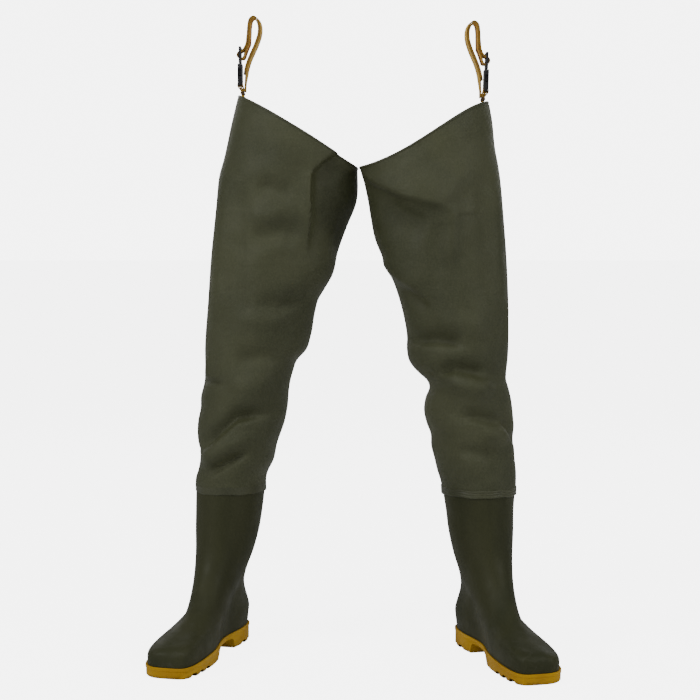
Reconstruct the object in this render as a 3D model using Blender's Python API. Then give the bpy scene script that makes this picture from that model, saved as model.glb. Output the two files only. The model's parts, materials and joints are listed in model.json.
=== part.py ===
"""A pair of thigh waders: PVC boots on cleated soles, welded fabric legs and belt straps.

Metres, +Z up. The toes point along -Y, so the wearer's right wader stands at -X.
The origin is on the floor under the middle of the pair. Every wader is built by the same
functions; its table gives how its soft leg hangs, as distances outward from the pair's
middle plane.
"""
from math import cos, exp, pi, radians, sin

import bmesh
import bpy
import numpy as np
from mathutils import Matrix, Vector

# ---- the pair --------------------------------------------------------------------------
MIDDLE_X = -0.0015          # middle plane between the legs, measured from the origin
MIDDLE_Y = 0.0620           # line of the ankles, measured from the origin
STAGGER = 0.018             # one wader stands this far behind that line, the other before it

# ---- foot: heel to toe runs along the foot's own axis, 0 under the ankle ----------------
TOE_OUT = radians(15)
HEEL_BACK = -0.085
TOE_FRONT = 0.215
HEEL_HALF = 0.0395          # the sole's half width at the heel ...
BALL_INSIDE = 0.0465        # ... and at the ball, on the big toe's side
BALL_OUTSIDE = 0.0535       # ... and on the little toe's side
WAIST = 0.0130              # the arch's side is drawn in by this much ...
WAIST_AT = 0.40             # ... at this fraction of the foot
WAIST_SPREAD = 0.17
ROUND = 2.0                 # squareness of an ellipse ...
BLUNT = 4.0                 # ... and of the sole's own outline
SOLE_HEEL = 0.0300          # height of the sole's top edge at the heel and at the toe
SOLE_TOE = 0.0205
ARCH_LIFT = 0.0185
SOLE_BEVEL = 0.0025
CLEAT_DEPTH = 0.0060
CLEAT_GAP = 0.0075
CLEAT_GAPS = (-0.0590, -0.0360, 0.1160, 0.1385, 0.1610)
ARCH = (-0.0260, -0.0120, 0.0540, 0.0860)     # heel breast, arch, start of the ball
FIT_GAP = 0.0003            # clearance between pieces that touch

# ---- boot shell ------------------------------------------------------------------------
BOOT_TOP = 0.268
BOOT_WALL = 0.0030
BOOT_FLOOR = 0.0040
TOE_WALL_TOP = 0.040        # above this the toe's wall turns into its roof
INSOLE_THICK = 0.0040
INSOLE_GAP = 0.0010
CAP_THICK = 0.0015
CAP_GAP = 0.0010            # inside the boot's wall
CAP_HALF = 4                # the cap spans this many facets each side of the toe

# ---- leg -------------------------------------------------------------------------------
FABRIC = 0.0015
SLEEVE_LAP = 0.006          # the leg fabric laps this far down over the boot
WELD_HALF = 0.010
WELD_THICK = 0.0009
SHIN_TOP = 0.406
KNEE_Z = 0.511
THIGH_LOW = 0.616
HEM_HIGH = 0.0045
HEM_THICK = 0.0025
SEAM_HALF_ANGLE = radians(7)
SEAM_THICK = 0.0007
TAPE_GAP = 0.0010           # tapes clear the flat facets of the sleeve under them
AROUND = 24                 # facets round a leg

# ---- belt strap and buckle, from the strap's own pivot just above the hem ---------------
PIVOT_INSET = 0.0068
PIVOT_ABOVE_HEM = 0.003
WEB_WIDTH = 0.025
WEB_THICK = 0.0020
TAIL_OFFSET = 0.0032        # the doubled tail lies this far inside the loop
TAIL_END = 0.0280
ANCHOR_LAYER = (-0.0026, 0.0018)    # the webbing's sewn ends, outward from the pivot
ANCHOR_SPAN = (-0.0200, -FIT_GAP)
PATCH_LAYER = (-0.0042, -0.0030)
PATCH_SPAN = (-0.0450, -0.0060)
PATCH_HALF_WIDTH = 0.0200
WEB_SLOT_HALF = 0.0132      # slots for the webbing are this wide each side of the middle
BUCKLE_OUT = 0.0040         # buckle's middle plane, outward of the pivot
BUCKLE_HALF_WIDTH = 0.0165
SOCKET_HALF_THICK = 0.0036
SOCKET_SPAN = (0.0114, 0.0466)      # spans run along the strap, upward from the pivot
TAB_SLOT_SPAN = (0.0158, 0.0204)
TAB_BAR_HALF_THICK = 0.0012
MOUTH_HALF_THICK = 0.0024
MOUTH_HALF_WIDTH = 0.0148
MOUTH_FLOOR = 0.0225
WINDOW_HALF_THICK = 0.0022
WINDOW_SPAN = (0.0260, 0.0380)
CLIP_HALF_THICK = 0.0018
CLIP_SPAN = (0.0472, 0.0736)
LADDER_SPANS = ((0.0516, 0.0578), (0.0626, 0.0696))
GUIDE_HALF_THICK = 0.0014
GUIDE_HALF_WIDTH = 0.0020
GUIDE_SPAN = (0.0245, 0.0500)
PRONG_Y = 0.0122
PRONG_HALF_THICK = 0.0016
PRONG_HALF_WIDTH = 0.0018
PRONG_LENGTH = 0.0210
PRONG_GAP = 0.0005
CUT_PAST = 0.0040           # cutters run on this far past the surface they cut

FULL_TURN = 2 * pi

# A ring of the boot: heel (along, height), toe (along, height), half widths at the heel
# and at the ball's inside and outside, squareness, and how far it has left the foot for
# the leg (0 to 1).
BOOT_RINGS = [
    (-0.0825, SOLE_HEEL + FIT_GAP, 0.2125, SOLE_TOE + FIT_GAP, 0.0375, 0.0440, 0.0510, 4.0, 0.0),
    (-0.0830, 0.046, 0.2125, 0.0340, 0.0395, 0.0450, 0.0510, 4.0, 0.0),
    (-0.0830, 0.060, 0.2105, 0.0430, 0.0410, 0.0450, 0.0455, 4.0, 0.0),
    (-0.0825, 0.072, 0.2035, 0.0510, 0.0400, 0.0440, 0.0375, 3.6, 0.0),
    (-0.0800, 0.084, 0.1830, 0.0585, 0.0380, 0.0420, 0.0310, 3.2, 0.02),
    (-0.0765, 0.095, 0.1560, 0.0680, 0.0365, 0.0390, 0.0265, 2.8, 0.06),
    (-0.0720, 0.107, 0.1270, 0.0810, 0.0358, 0.0365, 0.0265, 2.5, 0.12),
    (-0.0680, 0.120, 0.1000, 0.1000, 0.0380, 0.0360, 0.0300, 2.2, 0.22),
    (-0.0645, 0.137, 0.0800, 0.1260, 0.0410, 0.0390, 0.0360, 2.0, 0.37),
    (-0.0625, 0.164, 0.0670, 0.1600, 0.0460, 0.0450, 0.0440, 2.0, 0.60),
    (-0.0630, 0.198, 0.0635, 0.1980, 0.0505, 0.0505, 0.0505, 2.0, 0.78),
    (-0.0645, 0.232, 0.0645, 0.2320, 0.0530, 0.0530, 0.0530, 2.0, 0.90),
]


class Wader:
    """Where one wader stands and how its leg hangs."""

    def __init__(self, name, side, along, foot_out, lean, hem, stations):
        self.name = name
        self.side = side
        self.along = along
        self.foot_out = foot_out
        self.lean = lean
        self.hem_low, self.hem_high, self.hem_bow, self.hem_sway = hem
        self.stations = stations

    def place(self, outward, along, height):
        """World point from a distance outward of the pair's middle plane."""
        return Vector((MIDDLE_X + self.side * outward, MIDDLE_Y + self.along + along, height))

    def axes(self, turn):
        """Outward and forward directions for a section turned toes-out by this angle."""
        outward = Vector((self.side * cos(turn), sin(turn), 0))
        forward = Vector((self.side * sin(turn), -cos(turn), 0))
        return outward, forward

    def section(self, height):
        """Middle, half width, half depth and turn of the leg at one height."""
        outer, inner, half_depth, turn = profile(self.stations, height)
        return (outer + inner) / 2, (outer - inner) / 2, half_depth, radians(turn)

    def skin(self, angle, height, offset):
        """A point on the leg's surface; angle 0 faces outward and 90 degrees forward."""
        middle, half_width, half_depth, turn = self.section(height)
        outward, forward = self.axes(turn)
        return (self.place(middle, 0, height)
                + outward * (half_width + offset) * cos(angle)
                + forward * (half_depth + offset) * sin(angle))

    def hem(self, angle):
        """Height of the slanted top edge: high outside, low at the crotch."""
        middle = (self.hem_high + self.hem_low) / 2
        return (middle + (self.hem_high - self.hem_low) / 2 * cos(angle)
                + (self.hem_bow + self.hem_sway * cos(angle)) * sin(angle) ** 2)

    def pivot(self):
        """The strap's pivot, just above and inside the hem's outer corner."""
        outer = self.section(self.hem_high)
        return self.place(outer[0] + outer[1] - PIVOT_INSET, 0,
                          self.hem_high + PIVOT_ABOVE_HEM)


# Leg stations: height, outer edge, inner edge, half depth, toes-out turn in degrees.
WADERS = [
    Wader("right", -1, STAGGER, 0.2170, 0.0, (0.777, 0.892, 0.0072, 0.0), [
        (0.251, 0.2480, 0.1370, 0.0665, 15),
        (0.281, 0.2470, 0.1335, 0.0680, 15),
        (0.352, 0.2450, 0.1110, 0.0750, 9),
        (0.410, 0.2400, 0.0980, 0.0770, 4),
        (0.449, 0.2330, 0.0920, 0.0760, 1),
        (0.496, 0.2325, 0.0660, 0.0780, 0),
        (0.546, 0.2290, 0.0550, 0.0800, 0),
        (0.606, 0.2240, 0.0300, 0.0840, 0),
        (0.666, 0.2190, 0.0110, 0.0860, 0),
        (0.736, 0.2110, -0.0110, 0.0850, 0),
        (0.777, 0.2040, -0.0125, 0.0830, 0),
        (0.836, 0.1920, -0.0120, 0.0800, 0),
        (0.896, 0.1770, -0.0100, 0.0760, 0),
    ]),
    Wader("left", 1, -STAGGER, 0.2200, radians(1.5), (0.777, 0.8795, -0.0034, 0.0166), [
        (0.251, 0.2640, 0.1480, 0.0665, 15),
        (0.281, 0.2640, 0.1435, 0.0680, 15),
        (0.346, 0.2620, 0.1290, 0.0740, 9),
        (0.391, 0.2590, 0.1190, 0.0760, 5),
        (0.426, 0.2520, 0.1240, 0.0760, 2),
        (0.456, 0.2490, 0.1030, 0.0770, 1),
        (0.496, 0.2510, 0.0900, 0.0780, 0),
        (0.546, 0.2510, 0.0840, 0.0800, 0),
        (0.606, 0.2490, 0.0640, 0.0830, 0),
        (0.666, 0.2440, 0.0400, 0.0850, 0),
        (0.736, 0.2390, 0.0240, 0.0850, 0),
        (0.777, 0.2340, 0.0150, 0.0830, 0),
        (0.836, 0.2250, 0.0145, 0.0800, 0),
        (0.896, 0.2130, 0.0140, 0.0760, 0),
    ]),
]

# The strap's middle line, outward and upward from its pivot: sewn end, up the inner
# branch, over the top, down the outer branch and round the ladder lock's middle bar.
STRAP_ROUTE = [
    (-0.0042, 0.0026), (-0.0044, 0.0120), (-0.0050, 0.0240), (-0.0064, 0.0360),
    (-0.0108, 0.0510), (-0.0172, 0.0655), (-0.0238, 0.0790), (-0.0284, 0.0920),
    (-0.0292, 0.1055), (-0.0258, 0.1155), (-0.0192, 0.1212), (-0.0124, 0.1168),
    (-0.0098, 0.1050), (-0.0092, 0.0920), (-0.0078, 0.0810), (-0.0046, 0.0735),
    (-0.0010, 0.0688), (0.0024, 0.0664), (0.0058, 0.0650), (0.0079, 0.0620),
    (0.0079, 0.0585), (0.0058, 0.0556), (0.0020, 0.0545), (-0.0018, 0.0549),
    (-0.0050, 0.0580), (-0.0070, 0.0640), (-0.0086, 0.0705), (-0.0106, 0.0780),
]
DOUBLED_FROM = 2            # the tail lies along the route from this point ...
DOUBLED_TO = 13             # ... to this one

# The short tab: up from the hem, round the socket's bar and down again.
TAB_ROUTE = [
    (-0.0013, 0.0026), (-0.0013, 0.0060), (-0.0002, 0.0105), (0.0009, 0.0144),
    (0.0022, 0.0168), (0.0040, 0.0176), (0.0058, 0.0168), (0.0071, 0.0144),
    (0.0070, 0.0105), (0.0036, 0.0060), (0.0013, 0.0026),
]


# ---- curves and meshes -----------------------------------------------------------------
def profile(stations, height):
    """Smooth values between the stations of a table whose first column is height."""
    table = np.array(stations)
    heights = table[:, 0]
    values = table[:, 1:]
    slopes = np.gradient(values, heights, axis=0)
    height = min(max(height, heights[0]), heights[-1])
    low = min(int(np.searchsorted(heights, height, side="right")) - 1, len(heights) - 2)
    span = heights[low + 1] - heights[low]
    t = (height - heights[low]) / span
    return (values[low] * (2 * t ** 3 - 3 * t ** 2 + 1)
            + slopes[low] * span * (t ** 3 - 2 * t ** 2 + t)
            + values[low + 1] * (3 * t ** 2 - 2 * t ** 3)
            + slopes[low + 1] * span * (t ** 3 - t ** 2))


def smooth_route(points, per_span):
    """Points of a Catmull-Rom curve through a flat list of (outward, up) points."""
    ends = [2 * np.array(points[0]) - np.array(points[1])]
    tail = [2 * np.array(points[-1]) - np.array(points[-2])]
    line = ends + [np.array(point) for point in points] + tail
    curve = []
    for index in range(1, len(line) - 2):
        before, start, end, after = line[index - 1:index + 3]
        for step in range(per_span):
            t = step / per_span
            curve.append(0.5 * (2 * start + (end - before) * t
                                + (2 * before - 5 * start + 4 * end - after) * t ** 2
                                + (3 * start - before - 3 * end + after) * t ** 3))
    curve.append(line[-2])
    return curve


def route_normals(curve):
    """Unit normals of a flat curve, to the left of its direction."""
    normals = []
    for index in range(len(curve)):
        ahead = curve[min(index + 1, len(curve) - 1)] - curve[max(index - 1, 0)]
        ahead = ahead / np.hypot(*ahead)
        normals.append(np.array((-ahead[1], ahead[0])))
    return normals


def finish(name, mesh_data, material, smooth_angle=35):
    """Turn a bmesh into a named object with its faces pointing out."""
    bmesh.ops.recalc_face_normals(mesh_data, faces=mesh_data.faces)
    mesh = bpy.data.meshes.new(name)
    mesh_data.to_mesh(mesh)
    mesh_data.free()
    mesh.materials.append(material)
    mesh.shade_smooth()
    mesh.set_sharp_from_angle(angle=radians(smooth_angle))
    thing = bpy.data.objects.new(name, mesh)
    bpy.context.scene.collection.objects.link(thing)
    return thing


def sheet_solid(name, outer, inner, material, wraps):
    """A closed wall between two grids of points with the same rows and columns."""
    data = bmesh.new()
    grids = [[[data.verts.new(point) for point in row] for row in grid]
             for grid in (outer, inner)]
    rows = len(outer)
    columns = len(outer[0])
    spans = columns if wraps else columns - 1
    for grid in grids:
        for row in range(rows - 1):
            for column in range(spans):
                after = (column + 1) % columns
                data.faces.new((grid[row][column], grid[row][after],
                                grid[row + 1][after], grid[row + 1][column]))
    for row in (0, rows - 1):
        for column in range(spans):
            after = (column + 1) % columns
            data.faces.new((grids[0][row][column], grids[0][row][after],
                            grids[1][row][after], grids[1][row][column]))
    if not wraps:
        for column in (0, columns - 1):
            for row in range(rows - 1):
                data.faces.new((grids[0][row][column], grids[0][row + 1][column],
                                grids[1][row + 1][column], grids[1][row][column]))
    return finish(name, data, material)


def stacked_solid(name, rings, material):
    """A closed solid through a stack of rings, with a flat cap at each end."""
    data = bmesh.new()
    loops = [[data.verts.new(point) for point in ring] for ring in rings]
    count = len(loops[0])
    for lower, upper in zip(loops, loops[1:]):
        for index in range(count):
            after = (index + 1) % count
            data.faces.new((lower[index], lower[after], upper[after], upper[index]))
    data.faces.new(loops[0])
    data.faces.new(loops[-1])
    return finish(name, data, material)


def box_verts(data, low, high):
    """Add one closed box to a bmesh, between two opposite corners."""
    matrix = Matrix.LocRotScale((Vector(low) + Vector(high)) / 2, None,
                                Vector(high) - Vector(low))
    bmesh.ops.create_cube(data, size=1, matrix=matrix)


def boxes(name, corners, material):
    """One object holding separate boxes, each given by two opposite corners."""
    data = bmesh.new()
    for low, high in corners:
        box_verts(data, low, high)
    return finish(name, data, material)


def prism(data, outline, half_width):
    """Add a prism to a bmesh: an (along, height) outline extruded both ways across."""
    near, far = [[data.verts.new((across, along, height)) for along, height in outline]
                 for across in (-half_width, half_width)]
    data.faces.new(near)
    data.faces.new(far)
    for index in range(len(outline)):
        after = (index + 1) % len(outline)
        data.faces.new((near[index], near[after], far[after], far[index]))


def apply_boolean(thing, tool, operation):
    """Boolean modifier with its cutter kept as a hidden wire guide."""
    modifier = thing.modifiers.new(tool.name, "BOOLEAN")
    modifier.operation = operation
    modifier.object = tool
    tool.hide_render = True
    tool.display_type = "WIRE"


def ribbon(name, side, curve, material):
    """A strip of webbing along a flat curve of (outward, up) points, as wide along Y."""
    half = WEB_THICK / 2
    edges = (-WEB_WIDTH / 2, WEB_WIDTH / 2)
    faces = []
    for direction in (1, -1):
        faces.append([[(side * (point[0] + direction * half * normal[0]), y,
                        point[1] + direction * half * normal[1]) for y in edges]
                      for point, normal in zip(curve, route_normals(curve))])
    return sheet_solid(name, faces[0], faces[1], material, wraps=False)


def marker(name, location, parent=None, turn_y=0.0):
    """An empty on a joint's axis, which the pieces beyond the joint hang from."""
    empty = bpy.data.objects.new(name, None)
    empty.empty_display_size = 0.03
    bpy.context.scene.collection.objects.link(empty)
    empty.matrix_world = Matrix.Translation(location) @ Matrix.Rotation(turn_y, 4, "Y")
    if parent:
        attach([empty], parent)
    return empty


def attach(things, parent):
    """Parent objects built in world coordinates without moving them."""
    bpy.context.view_layer.update()
    for thing in things:
        thing.parent = parent
        thing.matrix_parent_inverse = parent.matrix_world.inverted()


def hang(things, parent):
    """Parent objects that were built in their parent's own coordinates."""
    for thing in things:
        thing.parent = parent


# ---- materials -------------------------------------------------------------------------
def plain(name, colour, roughness, metallic=0.0):
    """A Principled BSDF in one colour."""
    material = bpy.data.materials.new(name)
    material.use_nodes = True
    shader = material.node_tree.nodes["Principled BSDF"]
    shader.inputs["Base Color"].default_value = (*colour, 1)
    shader.inputs["Roughness"].default_value = roughness
    shader.inputs["Metallic"].default_value = metallic
    material.diffuse_color = (*colour, 1)
    return material


def make_materials():
    """All materials by the name of the stuff they show."""
    return {
        "boot": plain("boot_pvc", (0.034, 0.038, 0.018), 0.42),
        "sole": plain("sole_rubber", (0.36, 0.21, 0.005), 0.55),
        "fabric": plain("leg_fabric", (0.065, 0.070, 0.040), 0.50),
        "weld": plain("weld_tape", (0.050, 0.055, 0.030), 0.40),
        "webbing": plain("strap_webbing", (0.36, 0.22, 0.04), 0.85),
        "buckle": plain("buckle_plastic", (0.012, 0.012, 0.012), 0.35),
        "steel": plain("cap_steel", (0.50, 0.50, 0.50), 0.30, 1.0),
        "foam": plain("insole_foam", (0.10, 0.10, 0.09), 0.90),
    }


# ---- foot ------------------------------------------------------------------------------
def foot_ring(wader, ring, inset=0.0, angles=None):
    """Points round one ring of the boot; angle 0 is the heel and half a turn the toe."""
    heel, heel_z, toe, toe_z, heel_half, ball_inside, ball_outside, square, leaving = ring
    heel += inset
    toe -= inset
    top_middle = wader.section(BOOT_TOP)[0]
    middle = wader.foot_out + (top_middle - wader.foot_out) * leaving
    waist = WAIST * (square - ROUND) / (BLUNT - ROUND)
    outward, forward = wader.axes(TOE_OUT)
    points = []
    for angle in angles or [FULL_TURN * step / AROUND for step in range(AROUND)]:
        t = (1 - cos(angle)) / 2
        ease = t * t * (3 - 2 * t)
        outside = angle <= pi
        ball_half = ball_outside if outside else ball_inside
        half = heel_half + (ball_half - heel_half) * ease - inset
        if not outside:
            half -= waist * exp(-((t - WAIST_AT) / WAIST_SPREAD) ** 2)
        round_off = (1 - abs(2 * t - 1) ** square) ** (1 / square)
        across = half * round_off * (1 if outside else -1)
        points.append(wader.place(middle, 0, heel_z + (toe_z - heel_z) * t)
                      + outward * across + forward * (heel + (toe - heel) * t))
    return points


def top_ring(wader):
    """The boot's top ring, which the leg fabric laps over."""
    half_width, half_depth = wader.section(BOOT_TOP)[1:3]
    inset = FABRIC + FIT_GAP + 0.0004
    half = half_width - inset
    return (-half_depth + inset, BOOT_TOP, half_depth - inset, BOOT_TOP, half, half, half,
            ROUND, 1.0)


def inner_ring(ring):
    """The matching ring inside the boot's wall: lower over the instep."""
    heel, heel_z, toe, toe_z, *rest = ring
    over_instep = min(1.0, max(0.0, (toe - 0.066) / 0.05))
    drop = BOOT_WALL * over_instep * (toe_z > TOE_WALL_TOP)
    return (heel, heel_z, toe, toe_z - drop, *rest)


def lifted(ring, lift):
    """The same ring a little higher."""
    heel, heel_z, toe, toe_z, *rest = ring
    return (heel, heel_z + lift, toe, toe_z + lift, *rest)


def make_boot_shell(wader, materials):
    """The moulded boot, open at the top and closed under the foot."""
    outside = BOOT_RINGS + [top_ring(wader)]
    outer = [foot_ring(wader, ring) for ring in outside]
    floor = foot_ring(wader, lifted(BOOT_RINGS[0], BOOT_FLOOR), BOOT_WALL)
    inner = [floor] + [foot_ring(wader, inner_ring(ring), BOOT_WALL)
                       for ring in outside[1:]]
    return stacked_solid(f"{wader.name}_boot_shell", outer + inner[::-1], materials["boot"])


def make_outsole(wader, materials):
    """The cleated sole: a wedge with an arch and V gaps cut across its underside."""
    plan = (HEEL_HALF, BALL_INSIDE, BALL_OUTSIDE, BLUNT, 0.0)
    top = (HEEL_BACK, SOLE_HEEL, TOE_FRONT, SOLE_TOE, *plan)
    flat = (HEEL_BACK, 0.0, TOE_FRONT, 0.0, *plan)
    sole = stacked_solid(f"{wader.name}_outsole",
                         [foot_ring(wader, flat, SOLE_BEVEL),
                          foot_ring(wader, lifted(flat, SOLE_BEVEL)),
                          foot_ring(wader, top)], materials["sole"])
    below = -CUT_PAST
    past = BALL_OUTSIDE + CUT_PAST
    data = bmesh.new()
    breast, arch_back, arch_front, ball = ARCH
    prism(data, [(breast, below), (arch_back, ARCH_LIFT), (arch_front, ARCH_LIFT),
                 (ball, below)], past)
    for middle in CLEAT_GAPS:
        prism(data, [(middle - CLEAT_GAP / 2, below), (middle, CLEAT_DEPTH),
                     (middle + CLEAT_GAP / 2, below)], past)
    cutter = finish(f"{wader.name}_cleat_cutter", data, materials["sole"])
    outward, forward = wader.axes(TOE_OUT)
    turn = Matrix((outward, forward, Vector((0, 0, 1)))).transposed().to_4x4()
    cutter.data.transform(Matrix.Translation(wader.place(wader.foot_out, 0, 0)) @ turn)
    if wader.side > 0:
        cutter.data.flip_normals()
    apply_boolean(sole, cutter, "DIFFERENCE")
    return sole


def make_insole(wader, materials):
    """The loose insole lying on the boot's floor."""
    base = lifted(BOOT_RINGS[0], BOOT_FLOOR + FIT_GAP)
    inset = BOOT_WALL + INSOLE_GAP
    return stacked_solid(f"{wader.name}_insole",
                         [foot_ring(wader, base, inset),
                          foot_ring(wader, lifted(base, INSOLE_THICK), inset)],
                         materials["foam"])


def make_toe_cap(wader, materials):
    """The stiff cap inside the toe, clear of the boot's wall and the insole."""
    toe_facet = AROUND // 2
    angles = [FULL_TURN * step / AROUND
              for step in range(toe_facet - CAP_HALF, toe_facet + CAP_HALF + 1)]
    grids = []
    for gap in (CAP_GAP, CAP_GAP + CAP_THICK):
        rows = []
        for ring in BOOT_RINGS[1:5]:
            heel, heel_z, toe, toe_z, *rest = inner_ring(ring)
            toe_z -= gap * (toe_z > TOE_WALL_TOP)
            rows.append(foot_ring(wader, (heel, heel_z, toe, toe_z, *rest),
                                  BOOT_WALL + gap, angles))
        grids.append(rows)
    return sheet_solid(f"{wader.name}_toe_cap", grids[0], grids[1], materials["steel"],
                       wraps=False)


# ---- leg -------------------------------------------------------------------------------
def leg_wall(wader, name, low, high, inner, outer, rows, material, arc=None):
    """A wall of the leg between two edges, each a height for every angle round it."""
    wraps = arc is None
    if wraps:
        angles = [FULL_TURN * step / AROUND for step in range(AROUND)]
    else:
        columns = max(2, round(arc * AROUND / pi))
        angles = [-arc + 2 * arc * step / columns for step in range(columns + 1)]
    grids = []
    for offset in (outer, inner):
        grids.append([[wader.skin(angle, low(angle) + (high(angle) - low(angle)) * row / rows,
                                  offset) for angle in angles] for row in range(rows + 1)])
    return sheet_solid(f"{wader.name}_{name}", grids[0], grids[1], material, wraps)


def level(height):
    """An edge at one height all round."""
    return lambda angle: height


def make_leg(wader, materials):
    """Sleeve in three lengths, hem, weld band and seam tapes, each by the part it is on."""
    fabric = materials["fabric"]
    weld = materials["weld"]
    tape = (TAPE_GAP, TAPE_GAP + SEAM_THICK)

    def below_hem(gap):
        return lambda angle: wader.hem(angle) - gap

    shin = [
        leg_wall(wader, "shin_sleeve", level(BOOT_TOP - SLEEVE_LAP), level(SHIN_TOP),
                 -FABRIC, 0, 6, fabric),
        leg_wall(wader, "weld_band", level(BOOT_TOP - WELD_HALF), level(BOOT_TOP + WELD_HALF),
                 TAPE_GAP, TAPE_GAP + WELD_THICK, 2, weld),
        leg_wall(wader, "shin_seam_tape", level(BOOT_TOP + WELD_HALF + TAPE_GAP),
                 level(SHIN_TOP - TAPE_GAP), *tape, 6, weld, SEAM_HALF_ANGLE),
    ]
    knee = [leg_wall(wader, "knee_sleeve", level(SHIN_TOP + FIT_GAP),
                     level(THIGH_LOW - FIT_GAP), -FABRIC, 0, 7, fabric)]
    thigh = [
        leg_wall(wader, "thigh_sleeve", level(THIGH_LOW), below_hem(HEM_HIGH + FIT_GAP),
                 -FABRIC, 0, 9, fabric),
        leg_wall(wader, "top_hem", below_hem(HEM_HIGH), below_hem(0),
                 FABRIC / 2 - HEM_THICK, FABRIC / 2, 1, weld),
        leg_wall(wader, "thigh_seam_tape", level(THIGH_LOW + TAPE_GAP),
                 below_hem(HEM_HIGH + TAPE_GAP), *tape, 9, weld, SEAM_HALF_ANGLE),
    ]
    return shin, knee, thigh


def make_strap_anchor(wader, materials):
    """The sewn ends of the webbing inside the hem, and the patch that covers them."""
    pivot = wader.pivot()
    pieces = []
    for name, layer, half, span, stuff in (
            ("strap_anchor", ANCHOR_LAYER, WEB_WIDTH / 2, ANCHOR_SPAN, "webbing"),
            ("strap_patch", PATCH_LAYER, PATCH_HALF_WIDTH, PATCH_SPAN, "weld")):
        xs = sorted(wader.side * outward for outward in layer)
        pieces.append(boxes(f"{wader.name}_{name}",
                            [(pivot + Vector((xs[0], -half, span[0])),
                              pivot + Vector((xs[1], half, span[1])))], materials[stuff]))
    return pieces


# ---- strap and buckle, in the strap pivot's own coordinates ------------------------------
def make_belt_strap(wader, materials):
    """The long webbing: sewn end, loop, ladder lock, and back along its own inside."""
    spans = 3
    curve = smooth_route(STRAP_ROUTE, spans)
    normals = route_normals(curve)
    first = DOUBLED_FROM * spans
    last = DOUBLED_TO * spans
    tail = [curve[index] - normals[index] * TAIL_OFFSET for index in range(last, first, -1)]
    tail = [point for point in tail if point[1] > TAIL_END]
    return ribbon(f"{wader.name}_belt_strap", wader.side, curve + tail,
                  materials["webbing"])


def make_tab_strap(wader, materials):
    """The short webbing that holds the buckle's socket to the hem."""
    return ribbon(f"{wader.name}_tab_strap", wader.side, smooth_route(TAB_ROUTE, 3),
                  materials["webbing"])


def buckle_box(wader, thick, half_width, span):
    """Corners of a box centred on the buckle's middle plane, along a span of the strap."""
    middle = wader.side * BUCKLE_OUT
    return ((middle - thick, -half_width, span[0]), (middle + thick, half_width, span[1]))


def make_socket(wader, materials):
    """The buckle's socket: a flat box with a mouth, side windows and a bar for the tab."""
    low, high = SOCKET_SPAN
    past_sides = BUCKLE_HALF_WIDTH + CUT_PAST
    past_faces = SOCKET_HALF_THICK + CUT_PAST
    shapes = {
        "mouth_cutter": [buckle_box(wader, MOUTH_HALF_THICK, MOUTH_HALF_WIDTH,
                                    (MOUTH_FLOOR, high + CUT_PAST))],
        "window_cutter": [buckle_box(wader, WINDOW_HALF_THICK, past_sides, WINDOW_SPAN)],
        "slot_cutter": [buckle_box(wader, past_faces, WEB_SLOT_HALF, TAB_SLOT_SPAN)],
        "bar_cutter": [],
    }
    middle = wader.side * BUCKLE_OUT
    slot_middle = sum(TAB_SLOT_SPAN) / 2
    for way in (-1, 1):
        near, far = sorted((middle + way * TAB_BAR_HALF_THICK, middle + way * past_faces))
        shapes["bar_cutter"].append(((near, -WEB_SLOT_HALF, low - CUT_PAST),
                                     (far, WEB_SLOT_HALF, slot_middle)))
    body = boxes(f"{wader.name}_buckle_socket",
                 [buckle_box(wader, SOCKET_HALF_THICK, BUCKLE_HALF_WIDTH, SOCKET_SPAN)],
                 materials["buckle"])
    tools = [boxes(f"{wader.name}_{name}", corners, materials["buckle"])
             for name, corners in shapes.items()]
    for tool in tools:
        apply_boolean(body, tool, "DIFFERENCE")
    return [body] + tools


def make_clip(wader, materials):
    """The buckle's clip: ladder lock with two slots, and the guide between the prongs."""
    stuff = materials["buckle"]
    body = boxes(f"{wader.name}_buckle_clip",
                 [buckle_box(wader, CLIP_HALF_THICK, BUCKLE_HALF_WIDTH, CLIP_SPAN)], stuff)
    slots = boxes(f"{wader.name}_ladder_cutter",
                  [buckle_box(wader, CLIP_HALF_THICK + CUT_PAST, WEB_SLOT_HALF, span)
                   for span in LADDER_SPANS], stuff)
    guide = boxes(f"{wader.name}_guide_tool",
                  [buckle_box(wader, GUIDE_HALF_THICK, GUIDE_HALF_WIDTH, GUIDE_SPAN)], stuff)
    apply_boolean(body, slots, "DIFFERENCE")
    apply_boolean(body, guide, "UNION")
    return [body, slots, guide]


def make_prongs(wader, materials, clip_joint):
    """The two springy prongs, each with its origin on its own bending axis."""
    for name, way in (("front", -1), ("rear", 1)):
        prong = boxes(f"{wader.name}_buckle_prong_{name}",
                      [((-PRONG_HALF_THICK, -PRONG_HALF_WIDTH, -PRONG_LENGTH),
                        (PRONG_HALF_THICK, PRONG_HALF_WIDTH, 0.0))], materials["buckle"])
        prong.location = (wader.side * BUCKLE_OUT, way * PRONG_Y, CLIP_SPAN[0] - PRONG_GAP)
        prong.parent = clip_joint


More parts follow.
